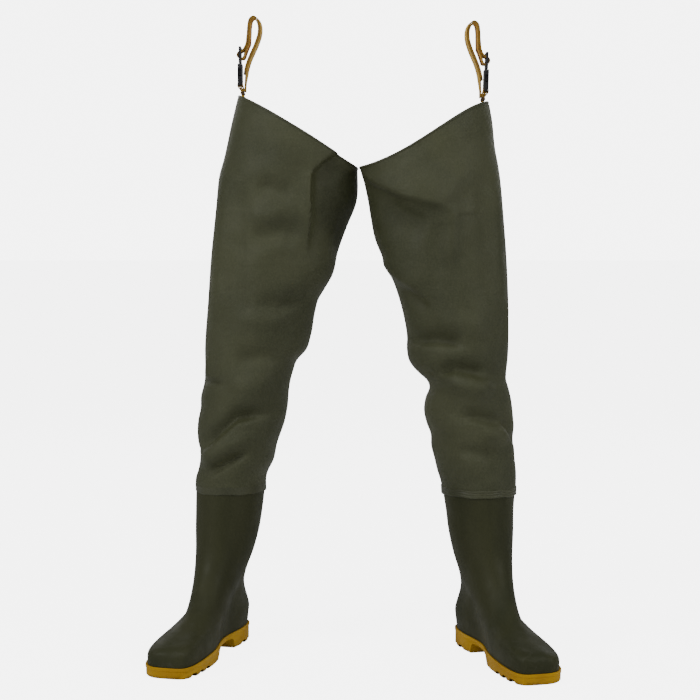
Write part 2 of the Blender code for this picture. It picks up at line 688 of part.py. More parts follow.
# ---- the pair --------------------------------------------------------------------------
def make_wader(wader, materials):
    """One wader: boot, leg, strap and buckle, hung from empties on its joints."""
    stand = marker(f"{wader.name}_wader", wader.place(wader.foot_out, 0, 0))
    foot = [make_boot_shell(wader, materials), make_outsole(wader, materials),
            make_insole(wader, materials), make_toe_cap(wader, materials)]
    shin, knee, thigh = make_leg(wader, materials)
    attach(foot + shin + knee, stand)

    knee_joint = marker(f"{wader.name}_knee_joint",
                        wader.place(wader.section(KNEE_Z)[0], 0, KNEE_Z), stand)
    attach(thigh + make_strap_anchor(wader, materials), knee_joint)

    strap_joint = marker(f"{wader.name}_strap_joint", wader.pivot(), knee_joint,
                         wader.side * wader.lean)
    hang(make_socket(wader, materials) + [make_tab_strap(wader, materials)], strap_joint)

    clip_joint = bpy.data.objects.new(f"{wader.name}_clip_joint", None)
    bpy.context.scene.collection.objects.link(clip_joint)
    clip_joint.parent = strap_joint
    hang(make_clip(wader, materials) + [make_belt_strap(wader, materials)], clip_joint)
    make_prongs(wader, materials, clip_joint)


def main():
    for thing in list(bpy.data.objects):
        bpy.data.objects.remove(thing)
    materials = make_materials()
    for wader in WADERS:
        make_wader(wader, materials)
    bpy.context.view_layer.update()


main()
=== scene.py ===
"""Visual model of a pair of thigh waders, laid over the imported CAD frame.

Metres, +Z up, toes along -Y; the longer tables are in millimetres. Shapes are given as
distances outward from the pair's middle plane, so that one set of functions makes both
waders. Soft legs are single sheets whose folds are lines on the leg's front or back.
"""
import json

from math import atan2, cos, pi, radians, sin

import bmesh
import bpy
import numpy as np
from mathutils import Matrix, Vector


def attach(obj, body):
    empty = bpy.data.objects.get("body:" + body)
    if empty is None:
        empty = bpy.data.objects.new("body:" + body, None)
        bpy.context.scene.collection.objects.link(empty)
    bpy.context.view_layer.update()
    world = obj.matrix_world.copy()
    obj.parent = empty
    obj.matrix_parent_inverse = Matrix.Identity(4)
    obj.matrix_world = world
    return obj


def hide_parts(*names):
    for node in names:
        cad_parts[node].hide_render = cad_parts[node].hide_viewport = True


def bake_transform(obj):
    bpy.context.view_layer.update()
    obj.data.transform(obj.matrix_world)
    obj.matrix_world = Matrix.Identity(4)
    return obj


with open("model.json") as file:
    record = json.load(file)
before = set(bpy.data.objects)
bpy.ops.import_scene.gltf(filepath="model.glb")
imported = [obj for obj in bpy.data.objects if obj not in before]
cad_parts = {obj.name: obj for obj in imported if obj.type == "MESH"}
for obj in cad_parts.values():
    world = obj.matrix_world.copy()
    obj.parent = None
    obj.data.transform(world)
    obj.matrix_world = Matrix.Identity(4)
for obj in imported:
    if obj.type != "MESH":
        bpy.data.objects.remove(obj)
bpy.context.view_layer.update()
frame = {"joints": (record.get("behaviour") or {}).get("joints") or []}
PIVOTS = {joint["name"]: joint["pos_m"] for joint in frame["joints"] if "pos_m" in joint}
MM = 0.001

# ---- where the waders stand: their middle, and how far each is behind or before it
MIDDLE_X = -0.0015
MIDDLE_Y = 0.0620
STAGGER = 0.018

# ---- sole, along the foot from the leg's middle line: places, heights and half widths
HEEL_BACK = -0.085
TOE_FRONT = 0.225
SOLE_HEEL = 0.0300
SOLE_TOE = 0.0172
SOLE_PLAN = (0.0395, 0.0400, 0.0535, 3.8, 0.0)
# The edge from below upward: share of the sole's height, lift from there, and inset.
SOLE_EDGE = [(0, 0.0, 0.0030), (0, 0.0010, 0.0014), (0, 0.0030, 0.0), (1, -0.0052, 0.0),
             (1, -0.0044, -0.0008), (1, -0.0010, -0.0008), (1, 0.0, 0.0004),
             (1, -0.0006, 0.0020)]
SOLE_PAST = 0.075
ARCH = (0.0000, 0.0080, 0.0740, 0.1040)
ARCH_LIFT = 0.0175
HEEL_GAPS = (-0.0600, -0.0310)
BALL_GAPS = (0.1520, 0.1770, 0.2010)
HEEL_GAP_HALF = (0.0096, 0.0062)
BALL_GAP_HALF = (0.0086, 0.0050)
CLEAT_DEPTH = 0.0064
BELOW_GROUND = -0.004

# ---- boot
WAIST = 0.0130
WAIST_AT = 0.40
WAIST_SPREAD = 0.17
INNER_SQUARER = 0.50
BOOT_TOP = 0.268
BOOT_WALL = 0.0030
BOOT_FLOOR = 0.0040
UNDER_LEG = 0.0011
CAP_GAPS = (0.0034, 0.0046)
INSOLE_THICK = 0.0040

# ---- leg
LEG_LOW = 0.258
LEG_AROUND = 176
LEG_ROWS = 200
KNEE_HEIGHT = 0.511
BLEND_LOW = 0.411
BLEND_HIGH = 0.611
FABRIC = 0.0009
FOLD_DEPTH = 1.15
GIRTH_RADIUS = 0.093
HEM_BAND = 0.0045
HEM_RADIUS = 0.0015
TAPE_LIFT = 0.0001
TAPE_UNDER = -0.0004
SEAM_LIFT = 0.0008
SEAM_HALF_ANGLE = 0.085

# ---- webbing and buckle, in the strap's own frame, up from its pivot
WEB_WIDTH = 0.025
WEB_THICK = 0.0021
WEB_EDGE = 0.0006
WEB_LAYER_HALF = 0.00095
TAIL_OFFSET = 0.0026
TAIL_END = 0.0280
DOUBLED_FROM = 2
DOUBLED_TO = 13
LOOP_TWIST = 0.09
SINGLE_TWIST = 0.07
SEALED_END = 0.006
ROLL_RADIUS = 0.0034
BUCKLE_OUT = 0.0040
BUCKLE_HALF = 0.0165
SOCKET_HALF_THICK = 0.0036
CLIP_HALF_THICK = 0.0018
PRONG_HALF_THICK = 0.0016
STITCH_PITCH = 0.0031
STITCH_LENGTH = 0.0022
STITCH_THICK = 0.00045

# ---- edges, stage and camera
SHARP_FROM = 40
SHARP_FROM_CUT = 38
FLOOR_REACH = 60.0
FLOOR_GLOW = 5.3
SKY_LIGHT = 0.22
SKY_SEEN = 6.0
LIGHT_TARGET = (0, 0, 0.5)
LIGHTS = [("key", (-2.4, -1.8, 2.0), 0.9, 50), ("fill", (2.5, -1.8, 1.8), 1.0, 37),
          ("top", (0.0, -1.1, 3.0), 1.2, 24), ("rear_left", (-1.6, 2.7, 1.6), 1.6, 11),
          ("rear_right", (1.6, 2.7, 1.6), 1.6, 11)]
CAMERA_BACK = 2.8
CAMERA_HEIGHT = 0.658
CAMERA_TILT = 3.53
SENSOR = 36
LENS = 90.0

# Boot rings: heel (along, height), toe (along, height), half widths at the heel and at the
# ball's inside and outside, all in millimetres; squareness, and the share by which the ring
# has left the foot for the leg.
BOOT_RINGS = np.array([
    (-82.5, 30.2, 223, 17.4, 37.5, 37.5, 51, 3.8, 0),
    (-83, 46, 223, 31, 39.5, 38.5, 51, 3.8, 0),
    (-83, 60, 220, 39.5, 41, 38.5, 44.5, 3.8, 0),
    (-82.5, 72, 209.5, 46.5, 40, 38.5, 33, 3.4, 0),
    (-80, 84, 185, 53, 38, 38, 24.5, 3, 0.02),
    (-76.5, 95, 156, 62, 36.5, 36.5, 20, 2.7, 0.06),
    (-72, 107, 126, 76.5, 35.8, 35, 22, 2.5, 0.12),
    (-68, 120, 100, 98, 38, 35.5, 28.5, 2.2, 0.22),
    (-64.5, 137, 80, 125, 41, 39, 36, 2, 0.37),
    (-62.5, 164, 67, 160, 46, 45, 44, 2, 0.6),
    (-63, 198, 63.5, 198, 50.5, 50.5, 50.5, 2, 0.78),
    (-64.5, 232, 64.5, 232, 53, 53, 53, 2, 0.9),
]) * ([MM] * 7 + [1, 1])

HALF_DEPTH = [(0.25, 0.0665), (0.281, 0.068), (0.35, 0.075), (0.41, 0.077), (0.50, 0.078),
              (0.61, 0.084), (0.67, 0.086), (0.74, 0.085), (0.78, 0.083), (0.84, 0.080),
              (0.90, 0.076)]
TURN = [(0.25, 15), (0.281, 15), (0.35, 9), (0.41, 4), (0.45, 1), (0.50, 0), (0.90, 0)]

# Which of a boot ring's numbers are heights.
LIFTED = np.array([0, 1, 0, 1, 0, 0, 0, 0, 0])

# Folds, in millimetres: the line as (outward, height) points, how far it stands out (below
# zero it is a crease), and how wide it is above and below (or either side of) it.
RIGHT_FOLDS = {
    "front": [
        ([(150, 748), (122, 742), (90, 726)], -6.5, 16, 13),
        ([(160, 650), (142, 665), (105, 676), (70, 664)], -9.5, 20, 14),
        ([(160, 700), (100, 703)], 4, 16, 16),
        ([(196, 800), (208, 640), (214, 500)], 5, 14, 14),
        ([(172, 760), (176, 560)], -3, 12, 12),
        ([(225.5, 480), (226.5, 436)], 3.4, 5, 6),
        ([(200, 432), (236, 438)], -4.2, 7, 4),
        ([(232, 324), (205, 350), (172, 379), (118, 388)], -13, 16, 6.5),
        ([(224, 300), (190, 330), (140, 355)], 7, 14, 14),
        ([(214, 287), (184, 306), (146, 326)], -7.5, 9, 6),
        ([(150, 562), (110, 556), (72, 568)], -6.5, 18, 10),
        ([(180, 540), (100, 528)], 3.5, 14, 14),
        ([(190, 466), (140, 480), (90, 474)], -6.5, 16, 12),
        ([(190, 428), (120, 440)], 4, 16, 16),
    ],
    "back": [
        ([(85, 505), (150, 520), (222, 500)], -9.5, 10, 12),
        ([(95, 472), (160, 484), (228, 470)], -7.5, 10, 10),
        ([(100, 440), (150, 452), (200, 441)], -5, 10, 10),
        ([(45, 620), (120, 600), (190, 612)], -6, 18, 10),
        ([(110, 780), (85, 650)], 5.5, 14, 14),
        ([(140, 345), (190, 358), (240, 342)], -7, 10, 8),
        ([(150, 305), (200, 316), (235, 306)], -5, 8, 8),
    ],
}
LEFT_FOLDS = {
    "front": [
        ([(10, 776), (50, 750), (84, 733), (140, 717), (162, 702)], 12.5, 50, 8),
        ([(45, 724), (85, 700), (125, 686)], -10.5, 12, 38),
        ([(161, 722), (156, 612)], 6, 10, 18),
        ([(140, 690), (136, 600)], -4, 10, 12),
        ([(205, 780), (214, 560)], -2.8, 12, 12),
        ([(228, 760), (238, 520)], 3.6, 10, 10),
        ([(48, 640), (72, 612), (118, 572)], 8, 22, 9),
        ([(87.5, 592), (121, 551)], -5, 8, 9),
        ([(92, 502), (130, 505), (180, 500)], -10, 14, 8),
        ([(215, 530), (130, 534)], 4, 16, 16),
        ([(128, 452), (160, 460), (216, 450)], -12, 16, 6),
        ([(140, 436), (230, 434)], 7.5, 12, 16),
        ([(160, 388), (190, 385), (240, 373)], -8.5, 14, 7),
        ([(234, 384), (263, 336)], -7, 7, 7),
        ([(190, 362), (246, 352)], 4.5, 12, 16),
        ([(246.5, 490), (246.5, 570)], 2.6, 3, 4),
        ([(150, 335), (220, 322)], -5, 12, 10),
    ],
    "back": [
        ([(110, 512), (175, 524), (242, 506)], -9.5, 10, 12),
        ([(120, 478), (180, 490), (240, 476)], -7.5, 10, 10),
        ([(130, 446), (180, 456), (236, 444)], -5.5, 10, 10),
        ([(70, 630), (140, 606), (210, 618)], -6, 18, 10),
        ([(120, 780), (150, 660)], 5.5, 14, 14),
        ([(160, 350), (210, 362), (255, 348)], -7, 10, 8),
        ([(165, 310), (215, 320), (250, 309)], -5, 8, 8),
    ],
}

# The strap's middle line, outward and upward from its pivot, in millimetres, then the short
# tab's and that of the tab's folded end.
STRAP_ROUTE = [
    (-4.2, 2.6), (-4.4, 12), (-5, 24), (-6.4, 36), (-10.8, 51), (-17.2, 65.5), (-23.8, 79),
    (-28.4, 92), (-29.2, 105.5), (-25.8, 115.5), (-19.2, 121.2), (-12.4, 116.8), (-9.8, 105),
    (-9.2, 92), (-7.8, 81), (-4.6, 73.5), (-1, 68.8), (2.4, 66.4), (5.8, 65), (7.9, 62),
    (7.9, 58.5), (5.8, 55.6), (2, 54.5), (-0.8, 55.6), (-2.6, 59), (-4, 63.5), (-6.8, 70.2),
    (-10.6, 78),
]
TAB_ROUTE = [
    (-1.3, 2.6), (-1.3, 6), (-0.2, 10.5), (0.9, 14.4), (2.2, 16.8), (4, 17.6), (5.8, 16.8),
    (7.1, 14.4), (7, 10.5), (3.6, 6), (1.3, 2.6)
]
TAB_FOLD = [(0.6, 1.6), (1.4, 4.6), (2.2, 7.4), (3.2, 10.2), (3.7, 13.4)]


# ---- curves
def curve(points, at):
    """Smooth values through (place, value) points, at an array of places."""
    table = np.array(points, float)
    places, values = table[:, 0], table[:, 1]
    slopes = np.gradient(values, places)
    at = np.clip(at, places[0], places[-1])
    low = np.clip(np.searchsorted(places, at, side="right") - 1, 0, len(places) - 2)
    span = places[low + 1] - places[low]
    t = (at - places[low]) / span
    return (values[low] * (2 * t ** 3 - 3 * t ** 2 + 1)
            + slopes[low] * span * (t ** 3 - 2 * t ** 2 + t)
            + values[low + 1] * (3 * t ** 2 - 2 * t ** 3)
            + slopes[low + 1] * span * (t ** 3 - t ** 2))


def smooth_rows(rows, per_span):
    """Rows of a Catmull-Rom curve through a list of rows of numbers."""
    rows = np.array(rows, float)
    line = np.vstack([2 * rows[0] - rows[1], rows, 2 * rows[-1] - rows[-2]])
    before, start, end, after = [line[first:len(rows) - 1 + first, None] for first in range(4)]
    t = (np.arange(per_span) / per_span)[:, None]
    made = 0.5 * (2 * start + (end - before) * t
                  + (2 * before - 5 * start + 4 * end - after) * t ** 2
                  + (3 * start - before - 3 * end + after) * t ** 3)
    return np.vstack([made.reshape(-1, rows.shape[1]), rows[-1]])


def round_angles(count):
    """Equally spaced angles, once round."""
    return np.arange(count) * 2 * pi / count


def ease(values, low, high):
    """0 below low, 1 above high and smooth between."""
    t = np.clip((values - low) / (high - low), 0, 1)
    return t * t * (3 - 2 * t)


# ---- the waders
class Wader:
    """Where one wader stands and the shape of its soft leg."""

    def __init__(self, name, side, along, foot, lean, hem, outer, inner, folds):
        self.name = name
        self.side = side
        self.along = along
        self.foot_out, self.toe_out, self.band = foot
        self.lean = lean
        self.hem_low, self.hem_high, self.hem_bow, self.hem_sway = hem
        self.outer = np.array(outer) * MM
        self.inner = np.array(inner) * MM
        self.folds = folds

    def place(self, outward, along, height):
        """World points from distances outward of the middle plane; arrays of (..., 3)."""
        outward, along, height = np.broadcast_arrays(outward, along, height)
        return np.stack([MIDDLE_X + self.side * outward, MIDDLE_Y + self.along + along,
                         height], axis=-1)

    def section(self, height):
        """Middle, half width, half depth and turn of the leg."""
        outer = curve(self.outer, height)
        inner = curve(self.inner, height)
        return ((outer + inner) / 2, (outer - inner) / 2, curve(HALF_DEPTH, height),
                np.radians(curve(TURN, height)))

    def skin(self, angle, height, offset=0.0, folded=True):
        """Points on the leg; angle 0 faces outward and 90 degrees forward."""
        middle, half_width, half_depth, turn = self.section(height)
        if folded:
            flat = middle + half_width * np.cos(angle)
            offset = offset + self.relief(angle, flat, height)
        across = (half_width + offset) * np.cos(angle)
        ahead = (half_depth + offset) * np.sin(angle)
        return self.place(middle + across * np.cos(turn) + ahead * np.sin(turn),
                          across * np.sin(turn) - ahead * np.cos(turn), height)

    def relief(self, angle, outward, height):
        """How far folds and slack move the fabric out, zero at its welded and hemmed ends."""
        angle, outward, height = np.broadcast_arrays(angle, outward, height)
        total = slack(angle, height, self.side)
        front = ease(np.sin(angle), -0.10, 0.30)
        back = ease(-np.sin(angle), -0.10, 0.30)
        for where, weight in (("front", front), ("back", back)):
            for line, rise, above, below in self.folds[where]:
                total = total + weight * fold(outward, height, np.array(line) * MM,
                                              rise * MM * FOLD_DEPTH, above * MM, below * MM)
        if self.side < 0:
            total = total + front * inner_facet(outward, height)
        clear = ease(height, BOOT_TOP + 0.004, BOOT_TOP + 0.030)
        hemmed = ease(self.hem(angle) - height, 0.0, 0.030)
        return total * clear * (0.35 + 0.65 * hemmed)

    def hem(self, angle):
        """Height of the slanted top edge."""
        middle = (self.hem_high + self.hem_low) / 2
        return (middle + (self.hem_high - self.hem_low) / 2 * np.cos(angle)
                + (self.hem_bow + self.hem_sway * np.cos(angle)) * np.sin(angle) ** 2)

    def pivot(self):
        """The strap's pivot, just above and inside the hem's outer corner."""
        return Vector(PIVOTS[f"{self.name}_strap_swing"])

    def foot_matrix(self):
        """From the foot's own (across, along, height) to the world."""
        outward = Vector((self.side * cos(self.toe_out), sin(self.toe_out), 0))
        forward = Vector((self.side * sin(self.toe_out), -cos(self.toe_out), 0))
        turn = Matrix((outward, forward, Vector((0, 0, 1)))).transposed().to_4x4()
        return Matrix.Translation(Vector(self.place(self.foot_out, 0, 0))) @ turn

    def strap_matrix(self):
        """From the strap pivot's own coordinates to the world."""
        return (Matrix.Translation(self.pivot())
                @ Matrix.Rotation(self.side * self.lean, 4, "Y"))


def slack(angle, height, phase):
    """Gentle unevenness of loose coated fabric."""
    return np.sin(angle) ** 2 * (
        0.0022 * np.sin(19 * height + 3 * angle + phase)
        + 0.0014 * np.sin(43 * height - 4 * angle + 2.3 * phase)
        + 0.0006 * np.sin(83 * height + 6 * angle + 1.1))


def fold(outward, height, line, rise, above, below):
    """A fold along a line of (outward, height) points, fading out at both ends."""
    step = np.diff(line, axis=0)
    lengths = np.hypot(*step.T)
    reach = np.concatenate([[0], np.cumsum(lengths)]) / lengths.sum()
    dx = outward[..., None] - line[:-1, 0]
    dz = height[..., None] - line[:-1, 1]
    t = np.clip((dx * step[:, 0] + dz * step[:, 1]) / lengths ** 2, 0, 1)
    dx = dx - t * step[:, 0]
    dz = dz - t * step[:, 1]
    away = np.hypot(dx, dz)
    nearest = np.argmin(away, axis=-1)[..., None]
    level = np.abs(step[:, 0]) > np.abs(step[:, 1])
    signed = away * np.where(level, np.sign(dz), np.sign(dx))
    along = reach[:-1] + t * np.diff(reach)
    signed, along = [np.take_along_axis(values, nearest, -1)[..., 0]
                     for values in (signed, along)]
    width = np.where(signed > 0, above, below)
    ends = ease(along, -0.02, 0.28) * ease(1 - along, -0.02, 0.28)
    return rise * np.exp(-(signed / width) ** 2) * (0.15 + 0.85 * ends)


def inner_facet(outward, height):
    """The flat of slack fabric inside a crisp vertical ridge on the right thigh."""
    ridge = 0.0596 + (0.779 - height) * 0.047
    share = np.clip((ridge - outward) / (ridge + 0.012), 0, 1)
    top = 0.772 + 0.75 * np.clip(0.0596 - outward, 0, 1)
    tall = ease(height, 0.625, 0.690) * ease(top - height, 0.0, 0.012)
    crest = 0.0036 * np.exp(-((outward - ridge - 0.003) / 0.009) ** 2)
    return (crest - 0.0190 * np.sin(pi * share ** 0.68)) * tall


# Name, side, place along, (foot outward, toe-out, height of the band's relief), strap's lean,
# hem (low, high, bow, sway), outer and inner outlines as (height, outward) in millimetres.
WADERS = [
    Wader("right", -1, STAGGER, (0.2170, radians(15), 0.15), 0.0,
          (0.777, 0.892, 0.0072, 0.0),
          [(251, 248), (281, 247.5), (294, 243), (314, 241), (333, 245), (371, 245), (391, 241),
           (410, 240), (429, 235), (449, 233), (487, 233), (565, 227), (642, 221), (719, 212),
           (764, 208), (790, 201), (841, 190), (893, 177.5)],
          [(251, 137), (286, 134.5), (306, 124.5), (333, 118), (371, 105), (391, 101), (429, 97),
           (449, 92), (468, 85), (484, 71), (507, 63), (546, 56), (565, 51), (584, 40), (603, 29),
           (642, 19), (681, 5), (719, -10), (777, -12.5), (836, -12), (896, -10)],
          RIGHT_FOLDS),
    Wader("left", 1, -STAGGER, (0.2222, radians(15.3), 1.0), radians(1.5),
          (0.777, 0.8795, -0.0034, 0.0166),
          [(251, 264), (294, 264), (314, 262), (371, 261), (391, 259), (410, 256), (429, 251),
           (439, 248), (449, 248), (468, 250), (546, 251), (623, 248), (700, 242), (777, 234),
           (803, 229), (854, 223), (879.5, 218), (890, 216)],
          [(251, 148), (275, 146), (294, 140), (314, 135), (333, 130), (352, 129), (371, 122),
           (391, 118), (410, 120.5), (429, 126.5), (439, 122), (449, 111), (458, 102), (468, 95),
           (487, 90.5), (507, 90.5), (546, 84), (584, 73), (623, 57), (661, 40), (700, 32),
           (719, 29), (764, 19), (777, 15), (836, 14.5), (896, 14)],
          LEFT_FOLDS),
]


# ---- meshes
def add_piece(name, vertices, faces, material, uv=None, sharp_from=SHARP_FROM):
    """A named mesh object with outward faces; uv gives one (u, v) pair for each vertex."""
    mesh = bpy.data.meshes.new(name)
    mesh.from_pydata(np.asarray(vertices).reshape(-1, 3).tolist(), [], faces)
    if uv is not None:
        layer = mesh.uv_layers.new(name="along_the_piece")
        corners = np.empty(len(mesh.loops), int)
        mesh.loops.foreach_get("vertex_index", corners)
        layer.data.foreach_set("uv", np.asarray(uv)[corners].astype(np.float32).ravel())
    mesh.validate()
    data = bmesh.new()
    data.from_mesh(mesh)
    bmesh.ops.recalc_face_normals(data, faces=data.faces)
    data.to_mesh(mesh)
    data.free()
    mesh.materials.append(material)
    mesh.shade_smooth()
    mesh.set_sharp_from_angle(angle=radians(sharp_from))
    return shown(mesh)


def shown(mesh):
    """An object of a mesh's own name, in the scene."""
    thing = bpy.data.objects.new(mesh.name, mesh)
    bpy.context.scene.collection.objects.link(thing)
    return thing


def belongs(thing, wader, body, slot, *nodes):
    """Put a piece on a body unless it is blended, in place of nodes; slot is not used."""
    if body:
        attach(thing, f"{wader.name}_{body}")
    if nodes:
        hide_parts(*[f"{wader.name}_{node}" for node in nodes])


def grid_faces(rows, columns, wrap_rows=False, wrap_columns=False, start=0):
    """Quads of a grid of vertices numbered row by row."""
    row = np.arange(rows if wrap_rows else rows - 1)[:, None]
    column = np.arange(columns if wrap_columns else columns - 1)[None, :]
    next_row = (row + 1) % rows
    next_column = (column + 1) % columns
    quads = np.stack([row * columns + column, row * columns + next_column,
                      next_row * columns + next_column, next_row * columns + column], -1)
    return (quads.reshape(-1, 4) + start).tolist()


def tube(name, rings, material, uv=None):
    """A closed torus-like solid: rings of points whose last ring joins the first."""
    rings = np.asarray(rings)
    return add_piece(name, rings, grid_faces(*rings.shape[:2], True, True), material, uv)


def capped_stack(name, rings, material, uv=None, sharp_from=SHARP_FROM):
    """A closed solid through a stack of rings with a flat face at each end."""
    rings = np.asarray(rings)
    rows, columns = rings.shape[:2]
    faces = grid_faces(rows, columns, False, True)
    faces += [list(range(columns)), list(range((rows - 1) * columns, rows * columns))]
    return add_piece(name, rings, faces, material, uv, sharp_from)


def thin_wall(name, outside, inside, material, wraps, uv=None):
    """A closed thin wall between two grids of points."""
    rows, columns = outside.shape[:2]
    count = rows * columns
    faces = grid_faces(rows, columns, False, wraps)
    faces += grid_faces(rows, columns, False, wraps, count)
    numbers = np.arange(count).reshape(rows, columns)
    rims = [numbers[0], numbers[-1]]
    if wraps:
        rims = [np.append(rim, rim[0]) for rim in rims]
    else:
        rims += [numbers[:, 0], numbers[:, -1]]
    for rim in rims:
        faces += np.stack([rim[:-1], rim[1:], rim[1:] + count, rim[:-1] + count], -1).tolist()
    doubled = None if uv is None else np.concatenate([uv.reshape(-1, 2)] * 2)
    points = np.concatenate([outside.reshape(-1, 3), inside.reshape(-1, 3)])
    return add_piece(name, points, faces, material, doubled)


def soften(thing, width, segments=2, angle=40):
    """Rounded edges."""
    bevel = thing.modifiers.new("rounded", "BEVEL")
    bevel.width = width
    bevel.segments = segments
    bevel.limit_method = "ANGLE"
    bevel.angle_limit = radians(angle)


def apply_modifiers(thing):
    """Make the modifiers' result the mesh itself."""
    bpy.context.view_layer.update()
    result = thing.evaluated_get(bpy.context.evaluated_depsgraph_get())
    mesh = bpy.data.meshes.new_from_object(result)
    thing.modifiers.clear()
    thing.data = mesh
    mesh.shade_smooth()
    mesh.set_sharp_from_angle(angle=radians(SHARP_FROM_CUT))


def combine(body, tools, operation):
    """Exact Boolean of a piece with others, which are removed afterwards."""
    for tool in tools:
        modifier = body.modifiers.new(tool.name, "BOOLEAN")
        modifier.operation = operation
        modifier.object = tool
        modifier.solver = "EXACT"
    apply_modifiers(body)
    for tool in tools:
        bpy.data.objects.remove(tool)


def prism(name, outline, low, high, material, axes):
    """A prism: outline of (a, b) points pushed along a third axis from low to high.

    axes gives the places of a, b and the third axis among x, y and z.
    """
    rings = np.zeros((2, len(outline), 3))
    rings[:, :, axes[0]] = np.array(outline)[:, 0]
    rings[:, :, axes[1]] = np.array(outline)[:, 1]
    rings[0, :, axes[2]] = low
    rings[1, :, axes[2]] = high
    return capped_stack(name, rings, material)


def rounded_box(half, low, high, radius, corner=5):
    """Outline of a rectangle, half each side of 0 and from low to high, corners rounded."""
    points = []
    for quarter, (a, b) in enumerate(((1, 1), (-1, 1), (-1, 0), (1, 0))):
        centre = (a * (half - radius), high - radius if b else low + radius)
        for step in range(corner + 1):
            turn = (quarter + step / corner) * pi / 2
            points.append((centre[0] + radius * cos(turn), centre[1] + radius * sin(turn)))
    return points


# ---- materials
class Look:
    """Builds one procedural material around a Principled BSDF."""

    def __init__(self, name, roughness, specular=0.5, metallic=0.0, sheen=0.0):
        self.material = bpy.data.materials.new(name)
        self.material.use_nodes = True
        self.tree = self.material.node_tree
        self.shader = self.tree.nodes["Principled BSDF"]
        for socket, value in (("Roughness", roughness), ("Specular IOR Level", specular),
                              ("Metallic", metallic), ("Sheen Weight", sheen)):
            self.shader.inputs[socket].default_value = value
        self.place = self.add("ShaderNodeTexCoord", {}, "Object")
        self.along = self.add("ShaderNodeTexCoord", {}, "UV")
        self.relief = None

    def add(self, kind, inputs, output=0, **settings):
        """A node's output; each input is given a number, a colour or another's output."""
        node = self.tree.nodes.new(kind)
        for name, value in settings.items():
            setattr(node, name, value)
        for socket, value in inputs.items():
            if isinstance(value, bpy.types.NodeSocket):
                self.tree.links.new(value, node.inputs[socket])
            else:
                node.inputs[socket].default_value = value
        return node.outputs[output]

    def stretched(self, source, scale):
        """Coordinates scaled by three numbers."""
        return self.add("ShaderNodeMapping", {"Vector": source, "Scale": scale})

    def noise(self, source, scale, detail=3.0, distortion=0.0):
        return self.add("ShaderNodeTexNoise", {"Vector": source, "Scale": scale,
                                               "Detail": detail, "Distortion": distortion},
                        "Fac")

    def wave(self, source, scale, axis="X", distortion=0.0):
        return self.add("ShaderNodeTexWave", {"Vector": source, "Scale": scale,
                                              "Distortion": distortion},
                        "Fac", bands_direction=axis)

    def part(self, source, axis):
        """One coordinate of a vector."""
        return self.add("ShaderNodeSeparateXYZ", {0: source}, axis)

    def spread(self, value, low, high, to_low=0.0, to_high=1.0):
        """Rescale a value from one range to another."""
        return self.add("ShaderNodeMapRange", {"Value": value, "From Min": low,
                                               "From Max": high, "To Min": to_low,
                                               "To Max": to_high},
                        interpolation_type="SMOOTHSTEP")

    def math(self, operation, first, second=0.0):
        return self.add("ShaderNodeMath", {0: first, 1: second}, operation=operation)

    def mix(self, factor, first, second):
        """Blend two colours, each a tuple or an output, by a factor."""
        first, second = [(*value, 1) if isinstance(value, tuple) else value
                         for value in (first, second)]
        return self.add("ShaderNodeMix", {0: factor, 6: first, 7: second}, 2,
                        data_type="RGBA")

    def colour(self, output):
        self.tree.links.new(output, self.shader.inputs["Base Color"])

    def rough(self, output):
        self.tree.links.new(output, self.shader.inputs["Roughness"])

    def mottle(self, scale, detail, first, second, low=0.3, high=0.7, distortion=0.0):
        """Two colours blended by noise."""
        patches = self.noise(self.place, scale, detail, distortion)
        return self.mix(self.spread(patches, low, high), first, second)

    def patchy(self, scale, detail, low, high):
        """Roughness that varies between two values."""
        self.rough(self.spread(self.noise(self.place, scale, detail), 0.3, 0.7, low, high))

    def grain(self, scale, detail, distance, strength):
        """Add a layer of relief from noise."""
        self.bump(self.noise(self.place, scale, detail), distance, strength)

    def bump(self, height, distance, strength):
        """Add a layer of relief, distance in metres."""
        inputs = {"Distance": distance, "Strength": strength, "Height": height}
        if self.relief is not None:
            inputs["Normal"] = self.relief
        self.relief = self.add("ShaderNodeBump", inputs)
        self.tree.links.new(self.relief, self.shader.inputs["Normal"])


def fabric_look():
    """Olive PVC-coated nylon: fine weave under the coating, small wrinkles."""
    look = Look("coated_leg_fabric", 0.60, specular=0.30)
    tone = look.mottle(7.0, 4.0, (0.037, 0.041, 0.0175), (0.051, 0.055, 0.0245),
                       0.35, 0.68, 0.6)
    specks = look.spread(look.noise(look.place, 420.0, 2.0), 0.3, 0.75, 0.0, 0.35)
    look.colour(look.mix(specks, tone, (0.066, 0.069, 0.035)))
    look.patchy(26.0, 4.0, 0.52, 0.66)
    weave = look.math("MULTIPLY", look.wave(look.along, 340.0, "X"),
                      look.wave(look.along, 340.0, "Y"))
    wrinkle = look.noise(look.stretched(look.place, (20.0, 20.0, 38.0)), 1.0, 5.0, 0.8)
    look.bump(wrinkle, 0.0030, 0.55)
    look.grain(95.0, 3.0, 0.0008, 0.45)
    look.bump(weave, 0.00025, 0.6)
    return look.material


def boot_look():
    """Dark olive moulded PVC, satin, with faint flow marks and scuffs low down."""
    look = Look("moulded_boot_pvc", 0.58, specular=0.20)
    flow = look.noise(look.stretched(look.place, (16.0, 16.0, 3.5)), 1.0, 4.0, 0.4)
    tone = look.mix(look.spread(flow, 0.30, 0.70), (0.024, 0.0265, 0.0098),
                    (0.034, 0.036, 0.0145))
    low = look.spread(look.part(look.place, "Z"), 0.020, 0.100, 0.55, 0.0)
    scuff = look.spread(look.noise(look.place, 60.0, 6.0, 1.2), 0.52, 0.74)
    look.colour(look.mix(look.math("MULTIPLY", low, scuff), tone, (0.048, 0.049, 0.032)))
    look.patchy(34.0, 5.0, 0.54, 0.68)
    look.bump(flow, 0.0020, 0.35)
    look.grain(900.0, 2.0, 0.00018, 0.5)
    return look.material


